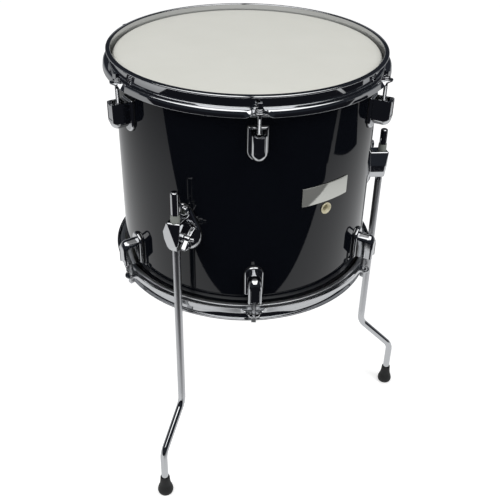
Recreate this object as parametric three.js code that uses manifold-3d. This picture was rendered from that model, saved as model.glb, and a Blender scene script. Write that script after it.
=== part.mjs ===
// Floor tom: a 14 by 12 inch wooden shell with two heads, twelve lugs and three bent legs.
// Units are millimetres, +Z is up. The origin is the bottom centre of the whole part's box.
// Upper and lower ends are one assembly, built with the batter side up and turned over for the other.

import * as THREE from 'three';
import { mergeGeometries, mergeVertices } from 'three/addons/utils/BufferGeometryUtils.js';
import Module from 'manifold-3d';

const wasm = await Module();
wasm.setup();

// Clearances and counts
const seat = 0.3;               // gap kept between two pieces that touch
const overrun = 5;              // how far a cutting shape runs past the surface that it cuts
const roundSides = 48;          // facets round the shell, heads and hoops
const endNames = ['batter', 'resonant'];
const lugCount = 6;             // lugs at each end
const legNames = ['front_left', 'right', 'rear_left'];
const screwNames = ['lower', 'upper'];

// Shell
const shellRadius = 177.8;      // 14 inch shell
const shellDepth = 304.8;       // 12 inch shell
const shellWall = 7.5;          // six plies
const edgePeakInset = 1.3;      // bearing edge peak, in from the outer face
const edgeOuterDrop = 1.5;      // how far the outer cut falls below the peak
const midHeight = 454.55;       // floor to the middle of the shell

// Heads and flesh hoops
const filmThickness = 0.5;
const collarGap = 1.8;          // shell to the film's upright skirt
const collarDepth = 9.2;        // bearing edge to the top of the flesh hoop
const skirtDepth = 5;           // how far the film reaches down inside the flesh hoop
const fleshHoopWidth = 6.2;
const fleshHoopHeight = 8;

// Counter hoops, pressed from sheet with three flanges
const hoopSheet = 2.3;
const hoopWallGap = 0.6;        // film skirt to the hoop's upright wall
const hoopHeight = 25.6;
const hoopLipRise = 8.45;       // lip above the head
const hoopLipWidth = 4.1;       // lip, out from the wall
const hoopLipDrop = 1;          // slope under the rolled lip
const hoopSkirtGap = 2.6;       // flesh hoop to the inside of the skirt
const hoopCorner = 1.1;         // bend at the step and the lip
const earWidth = 17;
const earHoleRadius = 3.4;
const notchWidth = 27;
const notchCrown = 4.5;         // rise of the notch's arched top
const notchWeb = 0.5;           // sheet left between the notch and the step

// Tension rods, each with its washer held under the collar
const rodOffset = 15.2;         // shell's outer face to rod axis
const rodRadius = 2.8;
const rodReach = 47;            // rod below its collar
const keySquare = 6.35;
const keyHeight = 7.2;
const keyChamfer = 0.7;
const collarRadius = 4.8;
const collarHeight = 1.8;
const washerRadius = 5.6;
const washerThickness = 1.2;

// Lugs
const gasketThickness = 0.6;
const lugPlateWidth = 25.3;
const lugPlateHeight = 44.5;
const lugPlateThickness = 2;
const lugPlateCorner = 2;         // at the open end; the closed end is a full round
const lugDrop = 53;             // shell's end to the middle of a lug plate
const lugBodyWidth = 19;
const lugBodyReach = 26;        // lug front, out from the plate's back
const lugBodyBevel = 3.5;
const lugBodyTopInset = 2.2;    // open end, below the plate's end
const lugBodyFoot = 7.2;        // closed end, above the plate's end
const lugRoundDepth = 10;       // closed end's rounding, along the reach
const lugRoundHeight = 8.2;     // and along the height
const lugPocketWidth = 12.4;
const lugPocketDepth = 13.2;
const lugPocketHeight = 9;
const lugThreadRun = 3;         // thread below the end of the rod
const lugDipRadius = 8;
const lugDipDepth = 3;
const lugScrewSpacing = 26;

// Screws from inside the shell
const lugScrewRadius = 2;
const lugScrewHeadRadius = 4.2;
const lugScrewHeadHeight = 2.4;
const bracketScrewRadius = 2.5;
const bracketScrewHeadRadius = 5.2;
const bracketScrewHeadHeight = 3;
const bracketScrewBite = 6;     // thread in the bracket
const screwPlay = 0.5;          // radial play of a screw in wood and gaskets
const screwSides = 6;

// Leg brackets: a round base, a shield-shaped block for the leg and a boss for the wing bolt
const bracketCentre = -23.55;   // middle of the shell to the middle of the base
const bracketStray = 4.5;       // most that a bracket is drilled above or below that
const bracketBaseThickness = 3.4;
const bracketHalfWidth = 26;
const bracketHalfHeight = 34;
const bracketBossRadius = 6;
const bracketBossReach = 8.5;   // screw boss, out from the base's back
const bracketBossOffset = 3.5;
const bracketBossSpacing = 54;
const blockReach = 31;          // block front, out from the base's back
const blockRight = 8.3;         // block's right flank, from the leg's axis
const blockLeft = 18.5;         // block's left shoulder, from the leg's axis
const blockHeight = 43;
const blockDrop = 24;           // block's lower end, below the middle of the base
const blockRimWall = 2;
const blockRimDepth = 3;
const boltBossRadius = 6;
const boltBossLength = 4;
const boltDrop = 2;             // wing bolt's axis, below the middle of the base

// Outlines of the block, each point as shares of its named sizes, from the block's lower end up.
const shieldRightShares = [[0.25, 0], [1, 0.36], [1, 1]];
const shieldLeftShares = [[-0.51, 1], [-1, 0.54], [-1, 0.35], [-0.76, 0.12], [-0.33, 0]];
const planRightShares = [[1, 0], [1, 0.89], [0.6, 1]];
const planLeftShares = [[-0.16, 1], [-0.35, 0.93], [-1, 0.55], [-1, 0]];
const sideShares = [[0, 0], [0.77, 0], [0.94, 0.13], [1, 0.33], [1, 1], [0, 1]];
// How far the bracket of each of legNames strays, of bracketStray.
const strayShares = [-1, 1, 0];
// How far each of legNames is turned in its bracket, of legTurn.
const legTurnShares = [0, 0, -1];

// Wing bolts
const boltRadius = 2.9;
const hubRadius = 5;
const hubLength = 7;
const boltTail = 6.2;           // stud end, past the hub
const wingSpan = 34.6;
const wingThickness = 3;
const wingRootShare = 1;        // wing's width at the hub, of the hub's length
const wingTipShare = 0.95;
const wingSweep = 1.4;          // how far the tips lie forward
const wingAngle = -33;          // degrees, outer wing below the level at rest
const hubGap = 1.2;             // boss to hub

// Legs, bushes and feet
const legOffset = 22.2;         // shell's outer face to leg axis
const legRadius = 5.25;
const legSides = 10;
const legTopHeight = 487.5;
const kneeHeight = 141;
const ankleHeight = 85;
const legBendRadius = 24;
const legBendSteps = 4;
const legOut = 56;              // knee to ankle, measured outward
const legTurn = 35;             // degrees, a leg turned in its bracket
const bushWall = 1.25;
const bushStand = 11;           // bush above the block's top
const footHeight = 32;
const footRadius = 11.7;
const footNeckRadius = 6.9;
const footSole = 6;
const footSides = 12;
// Foot outline from the sole up: radius as a share of footRadius, height as a share of footHeight.
const footShares = [[0.84, 0], [0.97, 0.08], [1, 0.2], [0.88, 0.36], [0.71, 0.54], [0.63, 0.78]];

// Badge and air vent
const badgeWidth = 73.5;
const badgeHeight = 25.7;
const badgeThickness = 1;
const badgeAngle = 31.3;        // degrees round the shell from the front lug
const badgeRise = 16.9;         // above the middle of the shell
const badgeCorner = 1;
const ventAngle = 31.5;
const ventDrop = 7;             // below the middle of the shell
const ventBore = 4.5;
const ventTube = 6;
const ventFlange = 8;
const ventFlangeThickness = 1.6;
const ventWasherThickness = 1;
const ventRivetStand = 1.2;     // tube's end, past the washer
const ventSides = 12;

// Sizes that follow from those above
const shellHalf = shellDepth / 2;
const shellInside = shellRadius - shellWall;
const gasketBack = shellRadius + seat;
const plateBack = gasketBack + gasketThickness + seat;
const rodCircle = shellRadius + rodOffset;
const legCircle = shellRadius + legOffset;
const lugCentre = shellHalf - lugDrop;
const filmUnderside = shellHalf + seat;
const filmTop = filmUnderside + filmThickness;
const skirtInside = shellRadius + collarGap;
const skirtOutside = skirtInside + filmThickness;
const fleshInside = skirtOutside + seat;
const fleshOutside = fleshInside + fleshHoopWidth;
const fleshTop = shellHalf - collarDepth;
const hoopWallInside = skirtOutside + hoopWallGap;
const hoopWallOutside = hoopWallInside + hoopSheet;
const hoopSkirtInside = fleshOutside + hoopSkirtGap;
const hoopSkirtOutside = hoopSkirtInside + hoopSheet;
const stepUnderside = fleshTop + seat;
const stepTop = stepUnderside + hoopSheet;
const lipTop = filmTop + hoopLipRise;
const hoopBottom = lipTop - hoopHeight;
const washerBottom = stepTop + seat;
const collarBottom = washerBottom + washerThickness;
const rodEnd = collarBottom - rodReach;
const lugTop = lugCentre + lugPlateHeight / 2 - lugBodyTopInset;
const lugBottom = lugCentre - lugPlateHeight / 2 + lugBodyFoot;
const pocketFloor = lugTop - lugPocketHeight;
const blockBottom = bracketCentre - blockDrop;
const blockTop = blockBottom + blockHeight;
const bushOuter = legRadius + seat + bushWall;
const bushBore = (bushOuter + seat) / Math.cos(Math.PI / legSides);
const boltHeight = bracketCentre - boltDrop;

const materials = {
  lacquer: new THREE.MeshStandardMaterial({ color: 0x0b0c10, roughness: 0.06, metalness: 0 }),
  coatedFilm: new THREE.MeshStandardMaterial({ color: 0xd8d8d0, roughness: 0.75, metalness: 0 }),
  aluminium: new THREE.MeshStandardMaterial({ color: 0xb4b6b8, roughness: 0.4, metalness: 1 }),
  chrome: new THREE.MeshStandardMaterial({ color: 0xd6d8da, roughness: 0.05, metalness: 1 }),
  zincSteel: new THREE.MeshStandardMaterial({ color: 0xa9abae, roughness: 0.35, metalness: 1 }),
  nickelBadge: new THREE.MeshStandardMaterial({ color: 0xc4c5c6, roughness: 0.3, metalness: 1 }),
  brass: new THREE.MeshStandardMaterial({ color: 0xc9b27a, roughness: 0.25, metalness: 1 }),
  gasketPlastic: new THREE.MeshStandardMaterial({ color: 0x141416, roughness: 0.6, metalness: 0 }),
  nylon: new THREE.MeshStandardMaterial({ color: 0x8e9092, roughness: 0.5, metalness: 0 }),
  rubber: new THREE.MeshStandardMaterial({ color: 0x0d0d0e, roughness: 0.8, metalness: 0 }),
};

// Geometry with shared corners, no flat triangles and its faces pointing out
function closed(geometry) {
  const bare = geometry.index ? geometry.toNonIndexed() : geometry.clone();
  bare.deleteAttribute('normal');
  bare.deleteAttribute('uv');
  const merged = mergeVertices(bare);
  const { array } = merged.getAttribute('position');
  const faces = [];
  let volume = 0;
  for (let i = 0; i < merged.index.count; i += 3) {
    const face = [merged.index.getX(i), merged.index.getX(i + 1), merged.index.getX(i + 2)];
    if (new Set(face).size < 3) continue;
    const [a, b, c] = face.map((v) => new THREE.Vector3().fromArray(array, 3 * v));
    volume += a.dot(b.cross(c));
    faces.push(face);
  }
  if (volume < 0) faces.forEach((face) => face.reverse());
  merged.setIndex(faces.flat());
  return merged;
}

function toSolid(geometry) {
  const shape = closed(geometry);
  return new wasm.Manifold(new wasm.Mesh({
    numProp: 3,
    vertProperties: new Float32Array(shape.getAttribute('position').array),
    triVerts: new Uint32Array(shape.index.array),
  }));
}

function toGeometry(solid) {
  const { vertProperties, triVerts } = solid.getMesh();
  const geometry = new THREE.BufferGeometry();
  geometry.setAttribute('position', new THREE.BufferAttribute(new Float32Array(vertProperties), 3));
  geometry.setIndex(new THREE.BufferAttribute(new Uint32Array(triVerts), 1));
  return geometry;
}

// Solid of revolution about Z. The profile's points are [radius, height].
function turned(profile, sides) {
  const points = profile.map(([radius, height]) => new THREE.Vector2(radius, height));
  return new THREE.LatheGeometry(points, sides).rotateX(Math.PI / 2);
}

function ring(inner, outer, bottom, top, sides) {
  return turned([[inner, bottom], [outer, bottom], [outer, top], [inner, top], [inner, bottom]], sides);
}

// Turned about the line that points outward from the drum, with heights measured from the drum's axis
function turnedOutward(profile, sides) {
  return turned(profile, sides).rotateX(Math.PI / 2);
}

function peg(radius, from, to, sides) {
  return turnedOutward([[0, from], [radius, from], [radius, to], [0, to]], sides);
}

function extruded(points, depth) {
  const shape = new THREE.Shape(points.map(([x, y]) => new THREE.Vector2(x, y)));
  return new THREE.ExtrudeGeometry(shape, { depth, bevelEnabled: false });
}

// Prism along Z. The outline's points are [sideways, outward].
function plan(points, bottom, top) {
  return extruded(points.map(([x, out]) => [x, -out]), top - bottom).translate(0, 0, bottom);
}

// Prism along the outward direction. The outline's points are [sideways, height].
function front(points, from, to) {
  return extruded(points, to - from).rotateX(Math.PI / 2).translate(0, -from, 0);
}

// Prism across the outward direction. The outline's points are [outward, height].
function side(points, left, right) {
  const turn = new THREE.Matrix4().makeBasis(
    new THREE.Vector3(0, -1, 0),
    new THREE.Vector3(0, 0, 1),
    new THREE.Vector3(-1, 0, 0),
  );
  return extruded(points, right - left).applyMatrix4(turn).translate(right, 0, 0);
}

function arc(centreX, centreY, radiusX, radiusY, startDegrees, endDegrees, steps) {
  return Array.from({ length: steps + 1 }, (_, i) => {
    const angle = THREE.MathUtils.degToRad(startDegrees + ((endDegrees - startDegrees) * i) / steps);
    return [centreX + radiusX * Math.cos(angle), centreY + radiusY * Math.sin(angle)];
  });
}

function roundedRectangle(width, height, corner, centreY) {
  const x = width / 2 - corner;
  const y = height / 2 - corner;
  return [
    ...arc(x, centreY + y, corner, corner, 0, 90, 2),
    ...arc(-x, centreY + y, corner, corner, 90, 180, 2),
    ...arc(-x, centreY - y, corner, corner, 180, 270, 2),
    ...arc(x, centreY - y, corner, corner, 270, 360, 2),
  ];
}

// A thin plate that follows the shell, cut from the outline [sideways, height]
function shellPlate(outline, inner, outer, bottom, top, degrees = 0) {
  const block = toSolid(front(outline, inner - overrun, outer + overrun)
    .rotateZ(THREE.MathUtils.degToRad(degrees)));
  return block.intersect(toSolid(ring(inner, outer, bottom - overrun, top + overrun, roundSides)));
}

function degreesOf(index, count) {
  return (360 / count) * index;
}

// One geometry holding a copy of a piece at each of the given angles and ends
function copies(geometry, places) {
  return mergeGeometries(places.map(({ degrees, flip = false, lift = 0 }) => {
    const copy = geometry.clone().translate(0, 0, lift);
    if (flip) copy.rotateY(Math.PI);
    return copy.rotateZ(THREE.MathUtils.degToRad(degrees));
  }));
}

const lugPlaces = [false, true].flatMap((flip) => Array.from({ length: lugCount }, (_, i) => (
  { degrees: degreesOf(i, lugCount), flip }
)));
const legPlaces = legNames.map((_, i) => ({
  degrees: degreesOf(i, legNames.length) - degreesOf(1, 2 * lugCount),
  lift: strayShares[i] * bracketStray,
  turn: legTurnShares[i] * legTurn,
}));
const lugScrewHeights = [-1, 1].map((sign) => lugCentre + (sign * lugScrewSpacing) / 2);
const bracketScrewHeights = [-1, 1].map((sign) => bracketCentre + (sign * bracketBossSpacing) / 2);

function shell() {
  const peak = shellRadius - edgePeakInset;
  const innerDrop = peak - shellInside;
  const half = [
    [shellRadius, shellHalf - edgeOuterDrop],
    [peak, shellHalf],
    [shellInside, shellHalf - innerDrop],
  ];
  const lowerHalf = half.map(([radius, height]) => [radius, -height]).reverse();
  const body = turned([...lowerHalf, ...half, lowerHalf[0]], roundSides);
  const holeStart = shellInside - overrun;
  const holeEnd = shellRadius + overrun;
  const lugHoles = lugScrewHeights.map((height) => copies(
    peg(lugScrewRadius + screwPlay, holeStart, holeEnd, screwSides).translate(0, 0, height),
    lugPlaces,
  ));
  const bracketHoles = bracketScrewHeights.map((height) => copies(
    peg(bracketScrewRadius + screwPlay, holeStart, holeEnd, screwSides)
      .translate(bracketBossOffset, 0, height),
    legPlaces,
  ));
  const ventHole = peg(ventTube + seat, holeStart, holeEnd, ventSides)
    .translate(0, 0, -ventDrop).rotateZ(THREE.MathUtils.degToRad(ventAngle));
  const cuts = toSolid(mergeGeometries([...lugHoles, ...bracketHoles, ventHole].map(closed)));
  return toGeometry(toSolid(body).subtract(cuts));
}

// Film over the bearing edge, down past it and into the flesh hoop
function head() {
  const peak = shellRadius - edgePeakInset;
  const shoulder = shellRadius + seat;
  const shoulderHeight = shellHalf - edgeOuterDrop;
  const skirtBottom = fleshTop - skirtDepth;
  return turned([
    [0, filmTop],
    [peak, filmTop],
    [shoulder + filmThickness, shoulderHeight],
    [skirtOutside, fleshTop],
    [skirtOutside, skirtBottom],
    [skirtInside, skirtBottom],
    [skirtInside, fleshTop],
    [shoulder, shoulderHeight],
    [peak, filmUnderside],
    [0, filmUnderside],
  ], roundSides);
}

function fleshHoop() {
  return ring(fleshInside, fleshOutside, fleshTop - fleshHoopHeight, fleshTop, roundSides);
}

function hoopProfile() {
  const lipEdge = hoopWallOutside + hoopLipWidth;
  const lipUnderside = lipTop - hoopSheet;
  return [
    [hoopSkirtInside, hoopBottom],
    [hoopSkirtOutside, hoopBottom],
    [hoopSkirtOutside, stepTop - hoopCorner],
    [hoopSkirtOutside - hoopCorner, stepTop],
    [hoopWallOutside, stepTop],
    [hoopWallOutside, lipUnderside - hoopLipDrop],
    [lipEdge, lipUnderside],
    [lipEdge, lipTop - hoopCorner],
    [lipEdge - hoopCorner, lipTop],
    [hoopWallInside + hoopCorner, lipTop],
    [hoopWallInside, lipTop - hoopCorner],
    [hoopWallInside, stepUnderside],
    [hoopSkirtInside, stepUnderside],
    [hoopSkirtInside, hoopBottom],
  ];
}

function counterHoop() {
  const halfEar = earWidth / 2;
  const earStart = hoopWallOutside + hoopCorner;
  const ear = plan([
    [-halfEar, earStart],
    ...arc(0, rodCircle, halfEar, halfEar, 180, 0, 6),
    [halfEar, earStart],
  ], stepUnderside, stepTop);
  const crownBottom = stepUnderside - notchWeb - notchCrown;
  const notch = front([
    [-notchWidth / 2, hoopBottom - overrun],
    [notchWidth / 2, hoopBottom - overrun],
    ...arc(0, crownBottom, notchWidth / 2, notchCrown, 0, 180, 4),
  ], (fleshOutside + hoopSkirtInside) / 2, hoopSkirtOutside + overrun);
  const hole = turned([
    [0, stepUnderside - overrun],
    [earHoleRadius, stepUnderside - overrun],
    [earHoleRadius, stepTop + overrun],
    [0, stepTop + overrun],
  ], 8).translate(0, -rodCircle, 0);
  const stations = lugPlaces.filter(({ flip }) => !flip);
  const ears = stations.map((place) => toSolid(copies(closed(ear), [place])));
  const cuts = toSolid(copies(mergeGeometries([notch, hole].map(closed)), stations));
  const whole = ears.reduce((sum, piece) => sum.add(piece), toSolid(turned(hoopProfile(), roundSides)));
  return toGeometry(whole.subtract(cuts));
}

function tensionRod() {
  const shank = turned([
    [0, rodEnd],
    [rodRadius, rodEnd],
    [rodRadius, washerBottom],
    [washerRadius, washerBottom],
    [washerRadius, collarBottom],
    [collarRadius, collarBottom],
    [collarRadius, collarBottom + collarHeight],
    [0, collarBottom + collarHeight],
  ], 8);
  const half = keySquare / Math.SQRT2;
  const keyTop = collarBottom + collarHeight + keyHeight;
  const key = turned([
    [0, collarBottom + collarHeight / 2],
    [half, collarBottom + collarHeight / 2],
    [half, keyTop - keyChamfer],
    [half - keyChamfer, keyTop],
    [0, keyTop],
  ], 4).rotateZ(Math.PI / 4);
  return toGeometry(toSolid(shank).add(toSolid(key))).translate(0, -rodCircle, 0);
}

// A casting with a threaded hole for the rod, and the two screws that hold it run in from inside
function lug() {
  const halfPlate = lugPlateWidth / 2;
  const openEnd = lugCentre + lugPlateHeight / 2;
  const roundStart = lugCentre - lugPlateHeight / 2 + halfPlate;
  const outline = [
    [halfPlate, openEnd - lugPlateCorner],
    [halfPlate - lugPlateCorner, openEnd],
    [lugPlateCorner - halfPlate, openEnd],
    [-halfPlate, openEnd - lugPlateCorner],
    ...arc(0, roundStart, halfPlate, halfPlate, 180, 360, 8),
  ];
  const plateFront = plateBack + lugPlateThickness;
  const bodyFront = plateBack + lugBodyReach;
  const plate = shellPlate(
    outline,
    plateBack,
    plateFront,
    lugCentre - lugPlateHeight,
    lugCentre + lugPlateHeight,
  );
  const half = lugBodyWidth / 2;
  const bodyBack = (plateBack + plateFront) / 2;
  const across = plan([
    [-half, bodyBack],
    [-half, bodyFront - lugBodyBevel],
    [-half + lugBodyBevel, bodyFront],
    [half - lugBodyBevel, bodyFront],
    [half, bodyFront - lugBodyBevel],
    [half, bodyBack],
  ], lugBottom - overrun, lugTop + overrun);
  const upright = side([
    [bodyBack, lugBottom],
    ...arc(bodyFront - lugRoundDepth, lugBottom + lugRoundHeight, lugRoundDepth, lugRoundHeight, 270, 360, 3),
    [bodyFront, lugTop],
    [bodyBack, lugTop],
  ], -half - overrun, half + overrun);
  const pocket = plan([
    [-lugPocketWidth / 2, rodCircle - lugPocketDepth / 2],
    [-lugPocketWidth / 2, rodCircle + lugPocketDepth / 2],
    [lugPocketWidth / 2, rodCircle + lugPocketDepth / 2],
    [lugPocketWidth / 2, rodCircle - lugPocketDepth / 2],
  ], pocketFloor, lugTop + overrun);
  const dip = peg(lugDipRadius, rodCircle, bodyFront + overrun, 10)
    .translate(0, 0, lugTop + lugDipRadius - lugDipDepth);
  const thread = turned([
    [0, rodEnd - lugThreadRun],
    [rodRadius + seat, rodEnd - lugThreadRun],
    [rodRadius + seat, lugTop],
    [0, lugTop],
  ], 8).translate(0, -rodCircle, 0);
  const cuts = [pocket, dip, thread].map(toSolid);
  const screws = lugScrewHeights.map((height) => toSolid(
    shellScrew(lugScrewRadius, lugScrewHeadRadius, lugScrewHeadHeight, lugPlateThickness / 2)
      .translate(0, 0, height),
  ));
  const body = cuts.reduce((sum, cut) => sum.subtract(cut), toSolid(across).intersect(toSolid(upright)));
  return toGeometry([plate, ...screws].reduce((sum, piece) => sum.add(piece), body));
}

// Screw with its head against the shell's inner face
function shellScrew(radius, headRadius, headHeight, bite) {
  const headFront = shellInside * Math.cos(Math.PI / roundSides) - seat;
  return closed(turnedOutward([
    [0, headFront - headHeight],
    [headRadius, headFront - headHeight],
    [headRadius, headFront],
    [radius, headFront],
    [radius, plateBack + bite],
    [0, plateBack + bite],
  ], screwSides));
}

function bracketScrew(height) {
  return shellScrew(
    bracketScrewRadius,
    bracketScrewHeadRadius,
    bracketScrewHeadHeight,
    bracketScrewBite,
  ).translate(bracketBossOffset, 0, height);
}

function baseOutline() {
  return arc(0, bracketCentre, bracketHalfWidth, bracketHalfHeight, 0, 340, 17);
}

function bracketGasket() {
  const holes = bracketScrewHeights.map((height) => toSolid(
    peg(bracketScrewRadius + screwPlay, shellInside, plateBack + overrun, screwSides)
      .translate(bracketBossOffset, 0, height),
  ));
  const bottom = bracketCentre - bracketHalfHeight;
  const top = bracketCentre + bracketHalfHeight;
  const sheet = shellPlate(baseOutline(), gasketBack, gasketBack + gasketThickness, bottom, top);
  return toGeometry(holes.reduce((sum, hole) => sum.subtract(hole), sheet));
}

function blockPoints(rightShares, leftShares, heightOf) {
  return [
    ...rightShares.map(([x, y]) => [x * blockRight, heightOf(y)]),
    ...leftShares.map(([x, y]) => [x * blockLeft, heightOf(y)]),
  ];
}

// The block is what three outlines have in common: seen from the front, from above and from the side.
function bracketBlock(wall, bottom) {
  const back = plateBack + bracketBaseThickness / 2;
  const frontFace = plateBack + blockReach;
  const depth = frontFace - back;
  const shield = blockPoints(shieldRightShares, shieldLeftShares, (share) => blockBottom + share * blockHeight);
  const above = blockPoints(planRightShares, planLeftShares, (share) => back + share * depth);
  const profile = sideShares.map(([out, up]) => [back + out * depth, blockBottom + up * blockHeight]);
  const block = toSolid(front(shield, back, frontFace))
    .intersect(toSolid(plan(above, blockBottom, blockTop)))
    .intersect(toSolid(side(profile, -blockLeft, blockRight)));
  if (wall === 0) return block;
  const centre = (plateBack + frontFace) / 2;
  const width = blockLeft + blockRight;
  const middle = (blockRight - blockLeft) / 2;
  const inner = toGeometry(block)
    .translate(-middle, centre, 0)
    .scale((width - 2 * wall) / width, (depth - 2 * wall) / depth, 1)
    .translate(middle, -centre, blockTop - bottom);
  return toSolid(inner).intersect(toSolid(ring(0, 2 * legCircle, bottom, blockTop + overrun, screwSides)));
}

function legBracket() {
  const bottom = bracketCentre - bracketHalfHeight;
  const top = bracketCentre + bracketHalfHeight;
  const base = shellPlate(baseOutline(), plateBack, plateBack + bracketBaseThickness, bottom, top);
  const bossStart = plateBack + bracketBaseThickness / 2;
  const bossEnd = plateBack + bracketBossReach;
  const bosses = bracketScrewHeights.map((height) => toSolid(turnedOutward([
    [0, bossStart],
    [bracketBossRadius, bossStart],
    [bracketBossRadius, (bossStart + bossEnd) / 2],
    [bracketBossRadius / 2, bossEnd],
    [0, bossEnd],
  ], 8).translate(bracketBossOffset, 0, height)));
  const screwHoles = bracketScrewHeights.map((height) => toSolid(
    peg(bracketScrewRadius + seat, shellInside, plateBack + bracketScrewBite + seat, screwSides)
      .translate(bracketBossOffset, 0, height),
  ));
  const boltBoss = toSolid(alongSideways([
    [0, blockRight / 2],
    [boltBossRadius, blockRight / 2],
    [boltBossRadius, blockRight + boltBossLength],
    [0, blockRight + boltBossLength],
  ], 10));
  const boltHole = toSolid(alongSideways([
    [0, 0],
    [boltRadius + seat, 0],
    [boltRadius + seat, blockRight + boltBossLength + overrun],
    [0, blockRight + boltBossLength + overrun],
  ], 10));
  const bore = toSolid(turned([
    [0, blockBottom - overrun],
    [bushBore, blockBottom - overrun],
    [bushBore, blockTop + overrun],
    [0, blockTop + overrun],
  ], legSides).translate(0, -legCircle, 0));
  const whole = [...bosses, bracketBlock(0), boltBoss].reduce((sum, piece) => sum.add(piece), base);
  const recess = bracketBlock(blockRimWall, blockTop - blockRimDepth);
  return toGeometry([recess, bore, boltHole, ...screwHoles].reduce((sum, cut) => sum.subtract(cut), whole));
}

// Turned about the wing bolt's axis, which runs sideways from the leg's axis
function alongSideways(profile, sides) {
  return turned(profile, sides).rotateY(Math.PI / 2).translate(0, -legCircle, boltHeight);
}

function wingBolt() {
  const tip = bushOuter + seat;
  const hubStart = blockRight + boltBossLength + hubGap;
  const hubEnd = hubStart + hubLength;
  const stud = turned([
    [0, tip],
    [boltRadius, tip],
    [boltRadius, hubStart],
    [hubRadius, hubStart],
    [hubRadius, hubEnd],
    [boltRadius, hubEnd],
    [boltRadius, hubEnd + boltTail],
    [0, hubEnd + boltTail],
  ], 10);
  const halfSpan = wingSpan / 2;
  const middle = (hubStart + hubEnd) / 2;
  const rootHalf = (hubLength * wingRootShare) / 2;
  const tipHalf = (hubLength * wingTipShare) / 2;
  const tipMiddle = middle + wingSweep;
  const wing = extruded([
    [0, middle - rootHalf],
    [halfSpan - tipHalf, tipMiddle - tipHalf],
    ...arc(halfSpan - tipHalf, tipMiddle, tipHalf, tipHalf, -60, 60, 3),
    [halfSpan - tipHalf, tipMiddle + tipHalf],
    [0, middle + rootHalf],
  ], wingThickness).translate(0, 0, -wingThickness / 2).rotateX(Math.PI / 2);
  const wings = [0, Math.PI].map((turn) => toSolid(wing.clone().rotateZ(turn)));
  const whole = wings.reduce((sum, piece) => sum.add(piece), toSolid(stud));
  return toGeometry(whole)
    .rotateZ(Math.PI / 2)
    .rotateZ(THREE.MathUtils.degToRad(-wingAngle))
    .rotateY(Math.PI / 2)
    .translate(0, -legCircle, boltHeight);
}

function legBush() {
  return ring(legRadius + seat, bushOuter, blockBottom, blockTop + bushStand, legSides)
    .translate(0, -legCircle, 0);
}

// Centre line of a bent rod that passes through given stations, each with its own direction
class BentRod extends THREE.Curve {
  constructor(stations) {
    super();
    this.stations = stations;
  }

  getPoint(t) {
    const place = t * (this.stations.length - 1);
    const index = Math.min(Math.floor(place), this.stations.length - 2);
    return this.stations[index].point.clone().lerp(this.stations[index + 1].point, place - index);
  }

  getPointAt(u) {
    return this.getPoint(u);
  }

  getTangentAt(u) {
    return this.stations[Math.round(u * (this.stations.length - 1))].direction.clone();
  }
}

// Stations round a bend of legBendRadius that turns from one direction to another at a corner
function bend(corner, entering, leaving) {
  const sweep = entering.angleTo(leaving);
  const axis = entering.clone().cross(leaving).normalize();
  const start = corner.clone().addScaledVector(entering, -legBendRadius * Math.tan(sweep / 2));
  const centre = start.clone().addScaledVector(axis.clone().cross(entering), legBendRadius);
  return Array.from({ length: legBendSteps + 1 }, (_, i) => {
    const angle = (sweep * i) / legBendSteps;
    return {
      point: start.clone().sub(centre).applyAxisAngle(axis, angle).add(centre),
      direction: entering.clone().applyAxisAngle(axis, angle),
    };
  });
}

function leg() {
  const down = new THREE.Vector3(0, 0, -1);
  const knee = new THREE.Vector3(0, -legCircle, kneeHeight - midHeight);
  const ankle = new THREE.Vector3(0, -legCircle - legOut, ankleHeight - midHeight);
  const top = new THREE.Vector3(0, -legCircle, legTopHeight - midHeight);
  const bottom = new THREE.Vector3(0, -legCircle - legOut, footSole + seat - midHeight);
  const slope = ankle.clone().sub(knee).normalize();
  const path = new BentRod([
    { point: top, direction: down },
    ...bend(knee, down, slope),
    ...bend(ankle, slope, down),
    { point: bottom, direction: down },
  ]);
  const section = new THREE.Shape(
    arc(0, 0, legRadius, legRadius, 0, 360 - 360 / legSides, legSides - 1)
      .map(([x, y]) => new THREE.Vector2(x, y)),
  );
  return new THREE.ExtrudeGeometry(section, {
    steps: path.stations.length - 1,
    extrudePath: path,
    bevelEnabled: false,
  });
}

function foot() {
  const socket = legRadius + seat;
  return turned([
    [0, 0],
    ...footShares.map(([out, up]) => [out * footRadius, up * footHeight]),
    [footNeckRadius, footHeight],
    [socket, footHeight],
    [socket, footSole],
    [0, footSole],
  ], footSides).translate(0, -legCircle - legOut, -midHeight);
}

function badge() {
  const outline = roundedRectangle(badgeWidth, badgeHeight, badgeCorner, badgeRise);
  const bottom = badgeRise - badgeHeight;
  const top = badgeRise + badgeHeight;
  return toGeometry(shellPlate(outline, gasketBack, gasketBack + badgeThickness, bottom, top, badgeAngle));
}

function atVent(geometry) {
  return geometry.translate(0, 0, -ventDrop).rotateZ(THREE.MathUtils.degToRad(ventAngle));
}

// Eyelet through the shell, with its flange outside
function ventGrommet() {
  const end = shellInside - ventWasherThickness - ventRivetStand;
  return atVent(turnedOutward([
    [ventBore, end],
    [ventTube, end],
    [ventTube, gasketBack],
    [ventFlange, gasketBack],
    [ventFlange, gasketBack + ventFlangeThickness],
    [ventBore, gasketBack + ventFlangeThickness],
    [ventBore, end],
  ], ventSides));
}

// Ring round the eyelet's tube, against the inner face of the shell
function ventWasher() {
  const outer = shellInside * Math.cos(Math.PI / roundSides) - seat;
  return atVent(turnedOutward([
    [ventTube + seat, outer - ventWasherThickness],
    [ventFlange, outer - ventWasherThickness],
    [ventFlange, outer],
    [ventTube + seat, outer],
    [ventTube + seat, outer - ventWasherThickness],
  ], ventSides));
}

function named(name, geometry, material) {
  const mesh = new THREE.Mesh(closed(geometry), material);
  mesh.name = name;
  return mesh;
}

function station(degrees, ...meshes) {
  const group = new THREE.Group();
  group.rotation.z = THREE.MathUtils.degToRad(degrees);
  group.add(...meshes);
  return group;
}

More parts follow.
